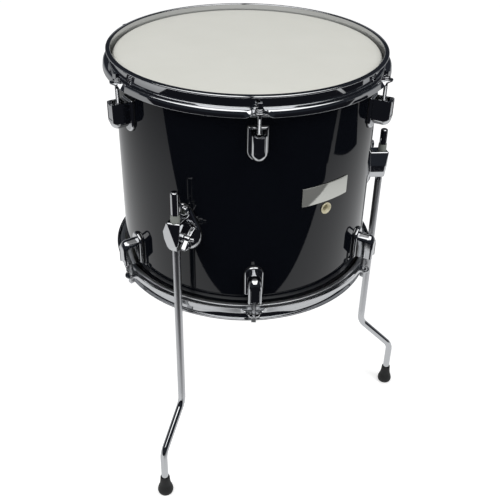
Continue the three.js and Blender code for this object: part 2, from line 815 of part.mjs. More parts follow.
// Everything at one end of the drum that has its own node, with the head up
function drumEnd(name) {
  const end = new THREE.Group();
  end.add(named(`${name}_head`, head(), materials.coatedFilm));
  end.add(named(`${name}_flesh_hoop`, fleshHoop(), materials.aluminium));
  end.add(named(`${name}_counter_hoop`, counterHoop(), materials.chrome));
  for (let i = 0; i < lugCount; i += 1) {
    end.add(station(
      degreesOf(i, lugCount),
      named(`${name}_lug_${i + 1}`, lug(), materials.chrome),
      named(`${name}_tension_rod_${i + 1}`, tensionRod(), materials.chrome),
    ));
  }
  return end;
}

// The geometry turned about the leg's upright axis
function inBracket(geometry, turn) {
  return geometry.translate(0, legCircle, 0)
    .rotateZ(THREE.MathUtils.degToRad(turn)).translate(0, -legCircle, 0);
}

function legStation(name, { degrees, lift, turn }) {
  const clamp = new THREE.Group();
  clamp.position.z = lift;
  clamp.add(
    named(`leg_bracket_${name}`, legBracket(), materials.chrome),
    named(`leg_bracket_gasket_${name}`, bracketGasket(), materials.gasketPlastic),
    ...bracketScrewHeights.map((height, i) => (
      named(`leg_bracket_screw_${name}_${screwNames[i]}`, bracketScrew(height), materials.zincSteel)
    )),
    named(`leg_bush_${name}`, legBush(), materials.nylon),
    named(`leg_wing_bolt_${name}`, wingBolt(), materials.chrome),
  );
  return station(
    degrees,
    clamp,
    named(`leg_rod_${name}`, inBracket(leg(), turn), materials.chrome),
    named(`leg_foot_${name}`, inBracket(foot(), turn), materials.rubber),
  );
}

function floorTom() {
  const drum = new THREE.Group();
  drum.add(named('shell', shell(), materials.lacquer));
  endNames.forEach((name, i) => {
    const end = drumEnd(name);
    end.rotation.y = Math.PI * i;
    drum.add(end);
  });
  legNames.forEach((name, i) => drum.add(legStation(name, legPlaces[i])));
  drum.add(named('badge', badge(), materials.nickelBadge));
  drum.add(named('vent_grommet', ventGrommet(), materials.brass));
  drum.add(named('vent_washer', ventWasher(), materials.brass));
  return drum;
}

const part = new THREE.Group();
const drum = floorTom();
part.add(drum);
const extent = new THREE.Box3().setFromObject(drum, true);
const centre = extent.getCenter(new THREE.Vector3());
drum.position.set(-centre.x, -centre.y, -extent.min.z);

export default part;
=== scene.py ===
"""Floor tom: a 14 by 12 inch wooden drum in black lacquer on three bent legs, in a white studio.

Every piece is made in millimetres in front of the drum, with the drum's axis on Z and the middle
of the shell at height 0, and is then set in its place round the drum. Pieces of the lower end are
those of the upper end, turned over.
"""

from math import atan2, cos, hypot, pi, radians, sin, sqrt, tan

import bmesh
import bpy
from bmesh.types import BMEdge, BMFace, BMVert
from mathutils import Matrix, Vector


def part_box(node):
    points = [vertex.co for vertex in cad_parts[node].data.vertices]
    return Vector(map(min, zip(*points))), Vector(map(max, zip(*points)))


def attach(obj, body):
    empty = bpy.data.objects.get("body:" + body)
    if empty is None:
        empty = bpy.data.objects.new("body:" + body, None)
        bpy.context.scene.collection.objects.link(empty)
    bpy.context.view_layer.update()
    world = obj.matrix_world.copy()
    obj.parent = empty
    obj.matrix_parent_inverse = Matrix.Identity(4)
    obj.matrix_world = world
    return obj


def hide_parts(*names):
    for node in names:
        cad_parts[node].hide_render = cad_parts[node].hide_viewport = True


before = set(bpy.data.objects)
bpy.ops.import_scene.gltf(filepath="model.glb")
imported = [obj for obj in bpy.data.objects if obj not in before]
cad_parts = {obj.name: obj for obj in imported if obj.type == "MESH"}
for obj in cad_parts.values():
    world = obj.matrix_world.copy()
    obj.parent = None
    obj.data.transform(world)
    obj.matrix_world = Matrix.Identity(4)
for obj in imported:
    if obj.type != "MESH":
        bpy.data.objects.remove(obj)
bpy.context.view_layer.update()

MM = 0.001
FINE_STEPS = 256                # facets round the shell, heads and flesh hoops
ROUND_STEPS = 48                # facets round bosses and bushes
SMALL_STEPS = 32                # facets round rods, threads and bores
SCREW_STEPS = 24                # facets round the screws inside
SPARE = 5.0                     # how far a cutter reaches past what it cuts
BODY = "root"

# Shell and heads
SHELL_RADIUS = 177.8
SHELL_WALL = 7.5
SHELL_HALF = 152.4
EDGE_PEAK_INSET = 1.3
EDGE_OUTER_DROP = 1.5
FILM = 0.5
FILM_UNDERSIDE = SHELL_HALF + 0.3
FILM_TOP = FILM_UNDERSIDE + FILM
SKIRT_INSIDE = SHELL_RADIUS + 1.8
SKIRT_OUTSIDE = SKIRT_INSIDE + FILM
FLESH_TOP = 143.2
FLESH_BOTTOM = 135.2
FLESH_INSIDE = 180.4
FLESH_OUTSIDE = 186.6

# Counter hoops
SHEET = 2.3
WALL_INSIDE = 180.7
LIP_EDGE = 187.1
LIP_TOP = 161.65
STEP_TOP = 145.8
HOOP_BOTTOM = 136.05
SKIRT_OUTER = 191.5
SKIRT_FLARE = 7.0               # degrees that the skirt stands out all round
LIP_SLOPE = 0.9                 # how much lower the lip is at its outer edge
BEND_INNER = 0.6                # inner radius of the bend from step to skirt
BEND_RADIUS = SKIRT_OUTER - SHEET - BEND_INNER
BEND_HEIGHT = STEP_TOP - SHEET - BEND_INNER
FLARE_HALF = 18.5               # where the skirt starts to turn out to an ear
FLARE_FLAT = 4.6                # half width of the part that is fully turned out
FLARE_ANGLE = 89.5
EAR_HALF = 8.5
EAR_HOLE = 3.4
EAR_SPAN = 10.8                 # degrees that are finely divided at each ear

# Tension rods
LUGS = 6
ROD_CIRCLE = 193.0
ROD_RADIUS = 2.6
ROD_END = 100.3
THREAD_TOP = 137.0
THREAD_PITCH = 1.06
THREAD_DEPTH = 0.32
WASHER_BOTTOM = 146.1
WASHER_RADIUS = 5.6
COLLAR_BOTTOM = 147.3
COLLAR_TOP = 149.1
COLLAR_RADIUS = 4.8
KEY_SQUARE = 6.35
KEY_TOP = 156.3
KEY_TURNS = (7, -12, 21, 3, -8, 16)     # how the square keys happen to stand

# Lugs
PLATE_BACK = 179.0
PLATE_THICKNESS = 3.3
PLATE_RIM = 2.6
LUG_CENTRE = 99.4
LUG_PLATE_HEIGHT = 44.5
LUG_PLATE_HALF = 12.65
LUG_FRONT = 205.0
LUG_BODY_HALF = 9.1
LUG_PANEL_HALF = 6.6
LUG_CORNER_DEPTH = 2.0
LUG_FRAME = 0.9                 # width of the raised frame round the front panel
LUG_PANEL_DEPTH = 0.5
LUG_DOME = 9.5                  # rounding of the closed end, seen from the side
LUG_TOP = 119.45
LUG_BOTTOM = 84.35
LUG_SCREW_SPACING = 26.0
LUG_SCREW = (2.0, 4.2, 2.4)     # radius, radius of the head, height of the head
LUG_BORE = 3.1
NUT_INNER = 3.2
NUT_OUTER = 4.0
POCKET_HALF = 6.2
POCKET_REACH = 6.6              # from the rod's axis towards the drum and away from it
POCKET_DEPTH = 6.0
DIP_CENTRE = LUG_TOP + 5
DIP_RADIUS = 8.0                # round notch in the front, under the ear
GASKET_BACK = SHELL_RADIUS + 0.1
GASKET_STEP = 0.45              # how far a gasket shows round its casting
GASKET_THICKNESS = 0.9
GASKET_RIM = 0.2

# Leg brackets
LEG_CIRCLE = 200.0
LEG_TURNS = {"front_left": -30.0, "right": 90.0, "rear_left": 210.0}
LEG_LIFTS = {"front_left": -4.5, "right": 4.5, "rear_left": 0.0}
LEG_SWIVELS = {"front_left": 0.0, "right": 0.0, "rear_left": -35.0}     # turned in its bracket
BRACKET_CENTRE = -23.55
BRACKET_HALF_WIDTH = 24.5
BRACKET_HALF_HEIGHT = 34.0
BRACKET_LOW_HALF = 26.0         # half height of the wide lower oval of its egg shape
BRACKET_CROWN = 13.0            # radius of the narrow top
BRACKET_BASE = 3.4
BRACKET_RIM = 4.6
BLOCK_RIGHT = 9.6
BLOCK_HEIGHT = 43.0
BLOCK_BOTTOM = BRACKET_CENTRE - 24.0
BLOCK_TOP = BLOCK_BOTTOM + BLOCK_HEIGHT
BLOCK_BACK = PLATE_BACK + 0.3
BLOCK_ROUND = 2.3               # radius of the block's edges
BLOCK_WALL = 2.1                # rim round the hollow top
BLOCK_HOLLOW = 3.0
BOLT_BOSS_RADIUS = 6.0
BOLT_BOSS_STAND = 3.6           # how far the bolt's boss stands out of the block
BOLT_HOLE = 3.2
BOSS_OFFSET = 3.5
BOSS_SPACING = 54.0
BOSS_FOOT = 7.0
BOSS_END = 5.4
BOSS_RISE = 4.2                 # where its foot starts to narrow
BOSS_STAND = 8.5
BRACKET_SCREW = (2.5, 5.2, 3.0)
BOLT_HEIGHT = BRACKET_CENTRE - 2.0
WING_TURN = 123.0               # how far round its axis the wing bolt stands
WING_HALF_THICKNESS = 1.5
STUD_START = 7.1                # along the bolt's axis, from the leg's
STUD_RADIUS = 2.2
STUD_END = 26.7
HUB_START = 13.5
HUB_RADIUS = 4.2
HUB_END = 20.5
BUSH_OUTER = 6.8
BUSH_NECK = 6.3
BUSH_TOP = 5.95
BUSH_BORE = 5.75
BUSH_BOTTOM = -36.0             # below it the block itself guides the leg
BUSH_STAND = 10.0               # how far its cone stands above the block

# Legs and feet
MID_HEIGHT = 454.55
LEG_RADIUS = 5.25
LEG_PLAY = 0.5                  # room round the leg in the block
LEG_TOP = 487.5 - MID_HEIGHT
KNEE = 137.0 - MID_HEIGHT
ANKLE = 81.0 - MID_HEIGHT
LEG_OUT = 56.0
LEG_BEND = 24.0
FOOT_HEIGHT = 32.0
FOOT_RADIUS = 11.7
FOOT_COLLAR = 6.9
FOOT_BED = 6.0                  # height of the rod's end in its foot

# Badge and air vent
BADGE_TURN = 31.3
BADGE_CENTRE = 16.9
BADGE_HALF_WIDTH = 36.75
BADGE_HALF_HEIGHT = 12.85
BADGE_THICKNESS = 1.1
BADGE_RIM = 0.3
BADGE_CORNER = 1.2
VENT_TURN = 31.5
VENT_RISE = -7.0
VENT_HOLE = 6.3
EYELET_END = 165.0              # its inner end, from the drum's axis
EYELET_BORE = 4.5
EYELET_TUBE = 6.0
EYELET_FLANGE = 8.0

shell_low, shell_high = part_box("shell")
DRUM = (shell_low + shell_high) / 2


# Tools of the bench

def place(turn=0.0, over=False, lift=0.0):
    """From the bench, in millimetres in front of the drum, to a place round it, in metres."""
    return (
        Matrix.Translation(DRUM)
        @ Matrix.Rotation(radians(turn), 4, "Z")
        @ Matrix.Rotation(pi if over else 0, 4, "Y")
        @ Matrix.Scale(MM, 4)
        @ Matrix.Translation((0, 0, lift))
    )


def as_mesh(name, bm):
    mesh = bpy.data.meshes.new(name)
    bm.to_mesh(mesh)
    bm.free()
    return mesh


def linked(name, data):
    """A new object in the scene that shows the data."""
    obj = bpy.data.objects.new(name, data)
    bpy.context.scene.collection.objects.link(obj)
    return obj


def only(kind, items):
    return [item for item in items if isinstance(item, kind)]


def sawn(bm, point, direction, **more):
    """Divides a shape along a plane. Gives what lies in the cut."""
    return bmesh.ops.bisect_plane(
        bm, geom=bm.verts[:] + bm.edges[:] + bm.faces[:], dist=1e-4, plane_co=point,
        plane_no=direction, **more,
    )["geom_cut"]


def sketch(corners, segments=4):
    """A flat face in the XZ plane. Each corner is (across, up) or (across, up, rounding)."""
    bm = bmesh.new()
    verts = [bm.verts.new((corner[0], 0, corner[1])) for corner in corners]
    bm.faces.new(verts)
    for vert, corner in zip(verts, corners):
        if len(corner) == 3:
            bmesh.ops.bevel(
                bm, geom=[vert], offset=corner[2], offset_type="OFFSET", segments=segments,
                profile=0.5, affect="VERTICES", material=-1,
            )
    return bm


def oval(half_width, half_height, centre, steps=72):
    """A flat oval face in the XZ plane."""
    bm = bmesh.new()
    bmesh.ops.create_circle(bm, cap_ends=True, radius=1, segments=steps)
    bmesh.ops.transform(
        bm, verts=bm.verts,
        matrix=Matrix.Translation((0, 0, centre)) @ Matrix.Rotation(radians(90), 4, "X")
        @ Matrix.Diagonal((half_width, half_height, 1, 1)),
    )
    return bm


UPWARD = Matrix.Rotation(radians(90), 4, "X")       # a face drawn outward, laid to be drawn up


def drawn(bm, start, end, upward=False):
    """Solid made by drawing a flat face from start to end, out of the drum or upward."""
    made = bmesh.ops.extrude_face_region(bm, geom=bm.faces[:])
    bmesh.ops.translate(bm, verts=only(BMVert, made["geom"]), vec=(0, end - start, 0))
    if upward:
        moved(bm, UPWARD, Matrix.Translation((0, 0, start)))
    else:
        moved(bm, Matrix.Translation((0, -end, 0)))
    bmesh.ops.recalc_face_normals(bm, faces=bm.faces)
    return bm


def lathe(corners, steps=ROUND_STEPS, segments=4):
    """Solid turned about Z. A side of the sketch that lies on the axis is left out first."""
    bm = sketch(corners, segments)
    bmesh.ops.delete(bm, geom=bm.faces[:], context="FACES_ONLY")
    on_axis = [edge for edge in bm.edges if all(abs(vert.co.x) < 1e-6 for vert in edge.verts)]
    bmesh.ops.delete(bm, geom=on_axis, context="EDGES_FACES")
    bmesh.ops.spin(
        bm, geom=bm.verts[:] + bm.edges[:], cent=(0, 0, 0), axis=(0, 0, 1), dvec=(0, 0, 0),
        angle=2 * pi, steps=steps, use_merge=True, use_duplicate=False,
    )
    bmesh.ops.remove_doubles(bm, verts=bm.verts, dist=1e-4)
    bmesh.ops.recalc_face_normals(bm, faces=bm.faces)
    return bm


def moved(bm, *steps):
    """The bmesh after the given matrices, the first one first."""
    for step in steps:
        bmesh.ops.transform(bm, matrix=step, verts=bm.verts)
    return bm


def outward(bm, across=0.0, up=0.0):
    """A turned piece laid with its top away from the drum."""
    return moved(bm, Matrix.Rotation(radians(90), 4, "X"), Matrix.Translation((across, 0, up)))


def plug(radius, bottom, top, steps=SMALL_STEPS):
    """A plain cylinder on Z."""
    return lathe([(0, bottom), (radius, bottom), (radius, top), (0, top)], steps)


def on_rod(bm):
    """A turned piece stood on the tension rod's axis."""
    return moved(bm, Matrix.Translation((0, -ROD_CIRCLE, 0)))


def on_leg(bm):
    """A turned piece stood on the leg's axis."""
    return moved(bm, Matrix.Translation((0, -LEG_CIRCLE, 0)))


def on_bolt(bm):
    """A turned piece laid on the wing bolt's axis, its top to the right."""
    return moved(
        bm, Matrix.Rotation(radians(90), 4, "Y"),
        Matrix.Translation((0, -LEG_CIRCLE, BOLT_HEIGHT)),
    )


def gather(*parts):
    """Several closed shapes in one bmesh."""
    whole = bmesh.new()
    for part in parts:
        mesh = as_mesh("bench", part)
        whole.from_mesh(mesh)
        bpy.data.meshes.remove(mesh)
    return whole


def combine(operation, base, *tools, tidy=True):
    """base with the tools cut away, added or kept in common."""
    holders = [linked("bench", as_mesh("bench", bm)) for bm in (base, *tools)]
    for tool in holders[1:]:
        step = holders[0].modifiers.new("step", "BOOLEAN")
        step.operation = operation
        step.solver = "EXACT"
        step.object = tool
    bpy.context.view_layer.update()
    shape = holders[0].evaluated_get(bpy.context.evaluated_depsgraph_get())
    result = bmesh.new()
    result.from_mesh(shape.to_mesh())
    shape.to_mesh_clear()
    for holder in holders:
        mesh = holder.data
        bpy.data.objects.remove(holder)
        bpy.data.meshes.remove(mesh)
    bmesh.ops.remove_doubles(result, verts=result.verts, dist=1e-3)
    if tidy:
        bmesh.ops.dissolve_limit(
            result, angle_limit=radians(1), verts=result.verts, edges=result.edges,
        )
    return result


def hull(bm):
    """The convex solid round all the vertices."""
    made = bmesh.ops.convex_hull(bm, input=bm.verts)
    inside = set(made["geom_interior"] + made["geom_unused"])
    bmesh.ops.delete(bm, geom=only(BMVert, inside), context="VERTS")
    kept = {item for item in only(BMFace, made["geom"]) if item.is_valid}
    bmesh.ops.delete(bm, geom=[face for face in bm.faces if face not in kept], context="FACES")
    bmesh.ops.dissolve_limit(bm, angle_limit=radians(0.5), verts=bm.verts, edges=bm.edges)
    bmesh.ops.recalc_face_normals(bm, faces=bm.faces)
    return bm


def soften(bm, width, segments=3, angle=28, where=None):
    """Rounds the edges that are sharper than angle, all of them or those that where picks."""
    edges = [
        edge for edge in bm.edges
        if edge.is_manifold and edge.calc_face_angle() > radians(angle)
        and (where is None or where(edge))
    ]
    bmesh.ops.bevel(
        bm, geom=edges, offset=width, offset_type="OFFSET", segments=segments, profile=0.5,
        affect="EDGES", clamp_overlap=True, material=-1,
    )
    return bm


def curved_plate(outline, back, thickness, rim, lines=13):
    """A plate laid round the drum. outline(step) gives its outline grown by step, and the rim, so
    many millimetres wide, is rounded from the front face down to the back."""
    layers = [outline(0)]
    for angle in [pi / 2 * step / 6 for step in range(7)]:
        depth = thickness - min(rim, thickness - 0.3) * (1 - sin(angle))
        layers.append(moved(outline(-rim * (1 - cos(angle))), Matrix.Translation((0, -depth, 0))))
    bm = hull(gather(*layers))
    half = max(vert.co.x for vert in bm.verts)
    for i in range(1, lines):
        sawn(bm, (half * (2 * i / lines - 1), 0, 0), (1, 0, 0))
    for vert in bm.verts:
        radius = back - vert.co.y
        vert.co.y = -sqrt(radius ** 2 - vert.co.x ** 2)
    return bm


def piece(name, bm, where, finish, body, slot, replaced=(), crease=32, weighted=False):
    """Sets a shape from the bench in its place round the drum, as one named piece."""
    bmesh.ops.transform(bm, matrix=where, verts=bm.verts)
    mesh = as_mesh(name, bm)
    for material in finish if isinstance(finish, (list, tuple)) else [finish]:
        mesh.materials.append(material)
    mesh.polygons.foreach_set("use_smooth", [True] * len(mesh.polygons))
    mesh.set_sharp_from_angle(angle=radians(crease))
    obj = linked(name, mesh)
    if weighted:
        normals = obj.modifiers.new("Weighted normals", "WEIGHTED_NORMAL")
        normals.keep_sharp = True
        normals.weight = 90
    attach(obj, body)
    if replaced:
        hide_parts(*replaced)
    return obj


# Materials

def linear(code):
    """An sRGB hex colour as linear light, for a colour socket."""
    channels = [int(code[i:i + 2], 16) / 255 for i in (0, 2, 4)]
    return (*[c / 12.92 if c <= 0.04045 else ((c + 0.055) / 1.055) ** 2.4 for c in channels], 1)


def add_node(tree, kind, settings=(), inputs=(), **sockets):
    """A node with its settings, and its sockets filled with values or links: inputs in their
    order, the others by name, where _ stands for a space."""
    node = tree.nodes.new(kind)
    for name, value in dict(settings).items():
        setattr(node, name, value)
    named = [(node.inputs[name.replace("_", " ")], value) for name, value in sockets.items()]
    for socket, value in [*zip(node.inputs, inputs), *named]:
        if isinstance(value, bpy.types.NodeSocket):
            tree.links.new(value, socket)
        else:
            socket.default_value = value
    return node


def maths(tree, operation, *values):
    """The output of one step of arithmetic."""
    return add_node(tree, "ShaderNodeMath", {"operation": operation}, values).outputs[0]


def noise(tree, vector, scale, detail, **more):
    node = add_node(
        tree, "ShaderNodeTexNoise", Vector=vector, Scale=scale, Detail=detail, **more,
    )
    return node.outputs["Fac"]


def spread(tree, value, low, high, settings=(), **more):
    """The value, from 0 to 1 or as more says, spread over low to high."""
    node = add_node(
        tree, "ShaderNodeMapRange", settings, Value=value, To_Min=low, To_Max=high, **more,
    )
    return node.outputs["Result"]


def tint(tree, value, dark, pale):
    """A colour between two, as the value goes from 0 to 1."""
    node = add_node(tree, "ShaderNodeValToRGB", Fac=value)
    for stop, code in zip(node.color_ramp.elements, (dark, pale)):
        stop.color = linear(code)
    return node.outputs["Color"]


def relief(tree, height, strength, distance):
    node = add_node(
        tree, "ShaderNodeBump", Height=height, Strength=strength, Distance=distance,
    )
    return node.outputs["Normal"]


def stretched(tree, vector, scale):
    return add_node(tree, "ShaderNodeMapping", Vector=vector, Scale=scale).outputs["Vector"]


def blank(name):
    """An empty material, its node tree and the object coordinates."""
    material = bpy.data.materials.new(name)
    material.use_nodes = True
    tree = material.node_tree
    tree.nodes.clear()
    return material, tree, add_node(tree, "ShaderNodeTexCoord").outputs["Object"]


def ended(material, **sockets):
    """The material, closed with the one shader that all pieces of the drum have."""
    tree = material.node_tree
    shader = add_node(tree, "ShaderNodeBsdfPrincipled", **sockets)
    add_node(tree, "ShaderNodeOutputMaterial", Surface=shader.outputs["BSDF"])
    return material


def chrome(name, colour, roughness, wave_height, wave_size, rubbed=None):
    """Polished chrome plate. A slow wave of the polished metal under it bends the reflections, and
    the smear of a cleaning cloth changes the roughness by a few hundredths. Rubbed makes it duller
    round a height: it holds that height, the half length of the dull part, and by how much."""
    material, tree, coordinates = blank(name)
    smear = noise(tree, coordinates, 45.0, 3.0, Roughness=0.6)
    finish = spread(tree, smear, roughness, roughness + 0.035)
    wave = noise(tree, coordinates, 1 / wave_size, 1.0)
    if rubbed:
        middle, half, duller = rubbed
        height = add_node(tree, "ShaderNodeSeparateXYZ", Vector=coordinates).outputs["Z"]
        away = maths(tree, "ABSOLUTE", maths(tree, "SUBTRACT", height, middle))
        wear = spread(tree, away, duller, 0.0, From_Min=half, From_Max=half + RUBBED_FADE)
        finish = maths(tree, "ADD", finish, wear)
    return ended(
        material, Base_Color=linear(colour), Metallic=1.0, Roughness=finish,
        Normal=relief(tree, wave, 1.0, wave_height),
    )


def lacquer():
    """Black nitrocellulose lacquer, sprayed and buffed: a mirror with a trace of orange peel about
    3 mm across, and the faint haze of the last buffing."""
    material, tree, coordinates = blank("Black gloss lacquer")
    haze = noise(tree, coordinates, 28.0, 4.0)
    peel = noise(tree, coordinates, 320.0, 1.0)
    return ended(
        material, Base_Color=linear("0a0c11"), IOR=1.45, Roughness=spread(tree, haze, 0.02, 0.05),
        Normal=relief(tree, peel, 1.0, 0.0000025),
    )


def maple():
    """Maple ply, sanded and sealed: growth lines about 2 mm apart that run round the drum."""
    material, tree, coordinates = blank("Sealed maple ply")
    grain = noise(tree, stretched(tree, coordinates, (1, 1, 14)), 35.0, 6.0, Distortion=0.4)
    return ended(material, Base_Color=tint(tree, grain, "b98d5c", "dfc096"), Roughness=0.45)


def coated_film():
    """Polyester film with a sprayed white coating: matt, with grit of about 0.5 mm, drawn twice as
    coarse as the real one so that it shows, and slightly uneven cover."""
    material, tree, coordinates = blank("Coated polyester film")
    cover = noise(tree, coordinates, 18.0, 5.0)
    grit = noise(tree, coordinates, 900.0, 2.0)
    return ended(
        material, Base_Color=tint(tree, cover, "d9d9d1", "e0e0d9"), Roughness=0.55,
        Normal=relief(tree, grit, 0.5, 0.0001),
    )


def drawn_metal(name, colour, roughness, lines, metallic=1.0):
    """Metal that was drawn or rolled, with fine lines along Z or round the drum."""
    material, tree, coordinates = blank(name)
    streak = noise(tree, stretched(tree, coordinates, lines), 60.0, 4.0)
    return ended(
        material, Base_Color=linear(colour), Metallic=metallic,
        Roughness=spread(tree, streak, roughness - 0.05, roughness + 0.08),
        Normal=relief(tree, streak, 0.4, 0.00002),
    )


def moulded(name, dark, pale, roughness, grain, depth):
    """Moulded plastic or rubber, or enamel: a fine grain and a slightly uneven tone."""
    material, tree, coordinates = blank(name)
    tone = noise(tree, coordinates, 120.0, 4.0)
    skin = noise(tree, coordinates, 1 / grain, 2.0)
    return ended(
        material, Base_Color=tint(tree, tone, dark, pale), Roughness=roughness,
        Normal=relief(tree, skin, 0.6, depth),
    )


CHROME_TONE = "c6c7c9"
RUBBED_FADE = 0.02              # metres over which the dull part of the legs ends
LEG_RUBBED = (0.28, 0.12, 0.3)  # height above the floor, half length, and added roughness
LACQUER = lacquer()
MAPLE = maple()
COATED_FILM = coated_film()
HOOP_CHROME = chrome("Chromed pressed steel", CHROME_TONE, 0.03, 0.00002, 0.03)
ROD_CHROME = chrome("Chromed steel rod", CHROME_TONE, 0.04, 0.000004, 0.02, LEG_RUBBED)
CAST_CHROME = chrome("Chromed zinc casting", CHROME_TONE, 0.04, 0.000008, 0.008)
BADGE_NICKEL = drawn_metal("Satin nickel plate", "c9cac4", 0.05, (1.0, 1.0, 30.0), 0.7)
ALUMINIUM = drawn_metal("Rolled aluminium channel", "c8cacc", 0.35, (1.0, 1.0, 30.0))
ZINC = drawn_metal("Zinc plated steel", "b9bcc0", 0.32, (1.0, 1.0, 1.0))
EYELET = moulded("Cream enamelled brass", "c9c2a4", "d6d0b4", 0.28, 0.004, 0.00002)
GASKET = moulded("Black gasket plastic", "131315", "1b1b1d", 0.55, 0.0006, 0.00002)
NYLON = moulded("Grey nylon", "7c817c", "91958f", 0.5, 0.0008, 0.00002)
RUBBER = moulded("Black rubber", "0d0d0e", "161617", 0.62, 0.0007, 0.00004)


# Pieces of the drum, each in front of it and at the upper end

def shell():
    peak = SHELL_RADIUS - EDGE_PEAK_INSET
    inside = SHELL_RADIUS - SHELL_WALL
    edge = [
        (SHELL_RADIUS, SHELL_HALF - EDGE_OUTER_DROP, 0.6),
        (peak, SHELL_HALF, 0.8),
        (inside, SHELL_HALF - (peak - inside)),
    ]
    tube = lathe([*edge, *[(c[0], -c[1], *c[2:]) for c in reversed(edge)]], FINE_STEPS)
    vent = moved(
        outward(plug(VENT_HOLE, inside - SPARE, SHELL_RADIUS + SPARE, ROUND_STEPS), 0, VENT_RISE),
        Matrix.Rotation(radians(VENT_TURN), 4, "Z"),
    )
    bm = combine("DIFFERENCE", tube, vent, tidy=False)
    for face in bm.faces:
        middle = face.calc_center_median()
        if hypot(middle.x, middle.y) < peak - 0.5:
            face.material_index = 1
    return bm


def head():
    peak = SHELL_RADIUS - EDGE_PEAK_INSET
    shoulder = SHELL_RADIUS + 0.3
    shoulder_height = SHELL_HALF - EDGE_OUTER_DROP
    bottom = FLESH_TOP - 5
    return lathe([
        (0, FILM_TOP),
        (peak - 30, FILM_TOP),
        (peak, FILM_TOP, 1.0),
        (shoulder + FILM, shoulder_height, 0.9),
        (SKIRT_OUTSIDE, FLESH_TOP, 1.5),
        (SKIRT_OUTSIDE, bottom),
        (SKIRT_INSIDE, bottom),
        (SKIRT_INSIDE, FLESH_TOP, 1.5),
        (shoulder, shoulder_height, 0.9),
        (peak, FILM_UNDERSIDE, 1.0),
        (0, FILM_UNDERSIDE),
    ], FINE_STEPS)


def flesh_hoop():
    return lathe([
        (FLESH_INSIDE, FLESH_BOTTOM, 0.6),
        (FLESH_OUTSIDE, FLESH_BOTTOM, 1.2),
        (FLESH_OUTSIDE, FLESH_TOP, 1.2),
        (FLESH_INSIDE, FLESH_TOP, 0.6),
    ], FINE_STEPS)


def smooth_step(low, high, value):
    share = min(max((value - low) / (high - low), 0), 1)
    return share * share * (3 - 2 * share)


def counter_hoop():
    """Pressed hoop: rolled lip, wall, step and skirt. The skirt turns out to an ear at each rod."""
    wall_outside = WALL_INSIDE + SHEET
    bm = sketch([
        (SKIRT_OUTER - SHEET, HOOP_BOTTOM, 0.5),
        (SKIRT_OUTER, HOOP_BOTTOM, 0.5),
        (SKIRT_OUTER, STEP_TOP, SHEET + BEND_INNER),
        (wall_outside, STEP_TOP, 0.9),
        (wall_outside, LIP_TOP - SHEET - 1.0, 0.8),
        (LIP_EDGE, LIP_TOP - LIP_SLOPE - SHEET, 1.0),
        (LIP_EDGE, LIP_TOP - LIP_SLOPE, 1.15),
        (WALL_INSIDE, LIP_TOP, 1.6),
        (WALL_INSIDE, STEP_TOP - SHEET, 1.6),
        (SKIRT_OUTER - SHEET, STEP_TOP - SHEET, BEND_INNER),
    ], 6)
    bmesh.ops.delete(bm, geom=bm.faces[:], context="FACES_ONLY")
    moved(bm, Matrix.Rotation(radians(-90 - EAR_SPAN / 2), 4, "Z"))
    line = bm.verts[:] + bm.edges[:]
    for _ in range(LUGS):
        for angle, steps in ((EAR_SPAN, 54), (360 / LUGS - EAR_SPAN, 32)):
            line = bmesh.ops.spin(
                bm, geom=line, cent=(0, 0, 0), axis=(0, 0, 1), dvec=(0, 0, 0),
                angle=radians(angle), steps=steps, use_merge=False, use_duplicate=False,
            )["geom_last"]
    bmesh.ops.remove_doubles(bm, verts=bm.verts, dist=2e-2)
    bmesh.ops.recalc_face_normals(bm, faces=bm.faces)
    for vert in bm.verts:
        radius = hypot(vert.co.x, vert.co.y)
        azimuth = atan2(vert.co.x, -vert.co.y)
        station = radians(360 / LUGS)
        away = azimuth - station * round(azimuth / station)
        across = abs(ROD_CIRCLE * sin(away))
        out, up = radius - BEND_RADIUS, vert.co.z - BEND_HEIGHT
        if out < 1e-4 or vert.co.z > STEP_TOP + 1e-4:
            continue
        share = 1 - smooth_step(FLARE_FLAT, FLARE_HALF, across)
        turned = radians(SKIRT_FLARE + (FLARE_ANGLE - SKIRT_FLARE) * share)
        reach = BEND_HEIGHT - HOOP_BOTTOM
        if across < EAR_HALF:
            lobe = sqrt(EAR_HALF ** 2 - across ** 2)
            reach = max(reach, (ROD_CIRCLE + lobe) / cos(away) - BEND_RADIUS)
        if up < 0:
            run = -up * reach / (BEND_HEIGHT - HOOP_BOTTOM)
            new_out = out * cos(turned) + run * sin(turned)
            new_up = out * sin(turned) - run * cos(turned)
        else:
            angle = turned + atan2(up, out) * (pi / 2 - turned) / (pi / 2)
            new_out = hypot(out, up) * cos(angle)
            new_up = hypot(out, up) * sin(angle)
        vert.co.x *= (BEND_RADIUS + new_out) / radius
        vert.co.y *= (BEND_RADIUS + new_out) / radius
        vert.co.z = BEND_HEIGHT + new_up
    holes = [
        moved(
            on_rod(plug(EAR_HOLE, HOOP_BOTTOM - 1, STEP_TOP + 4)),
            Matrix.Rotation(radians(360 / LUGS * i), 4, "Z"),
        )
        for i in range(LUGS)
    ]
    return combine("DIFFERENCE", bm, gather(*holes), tidy=False)


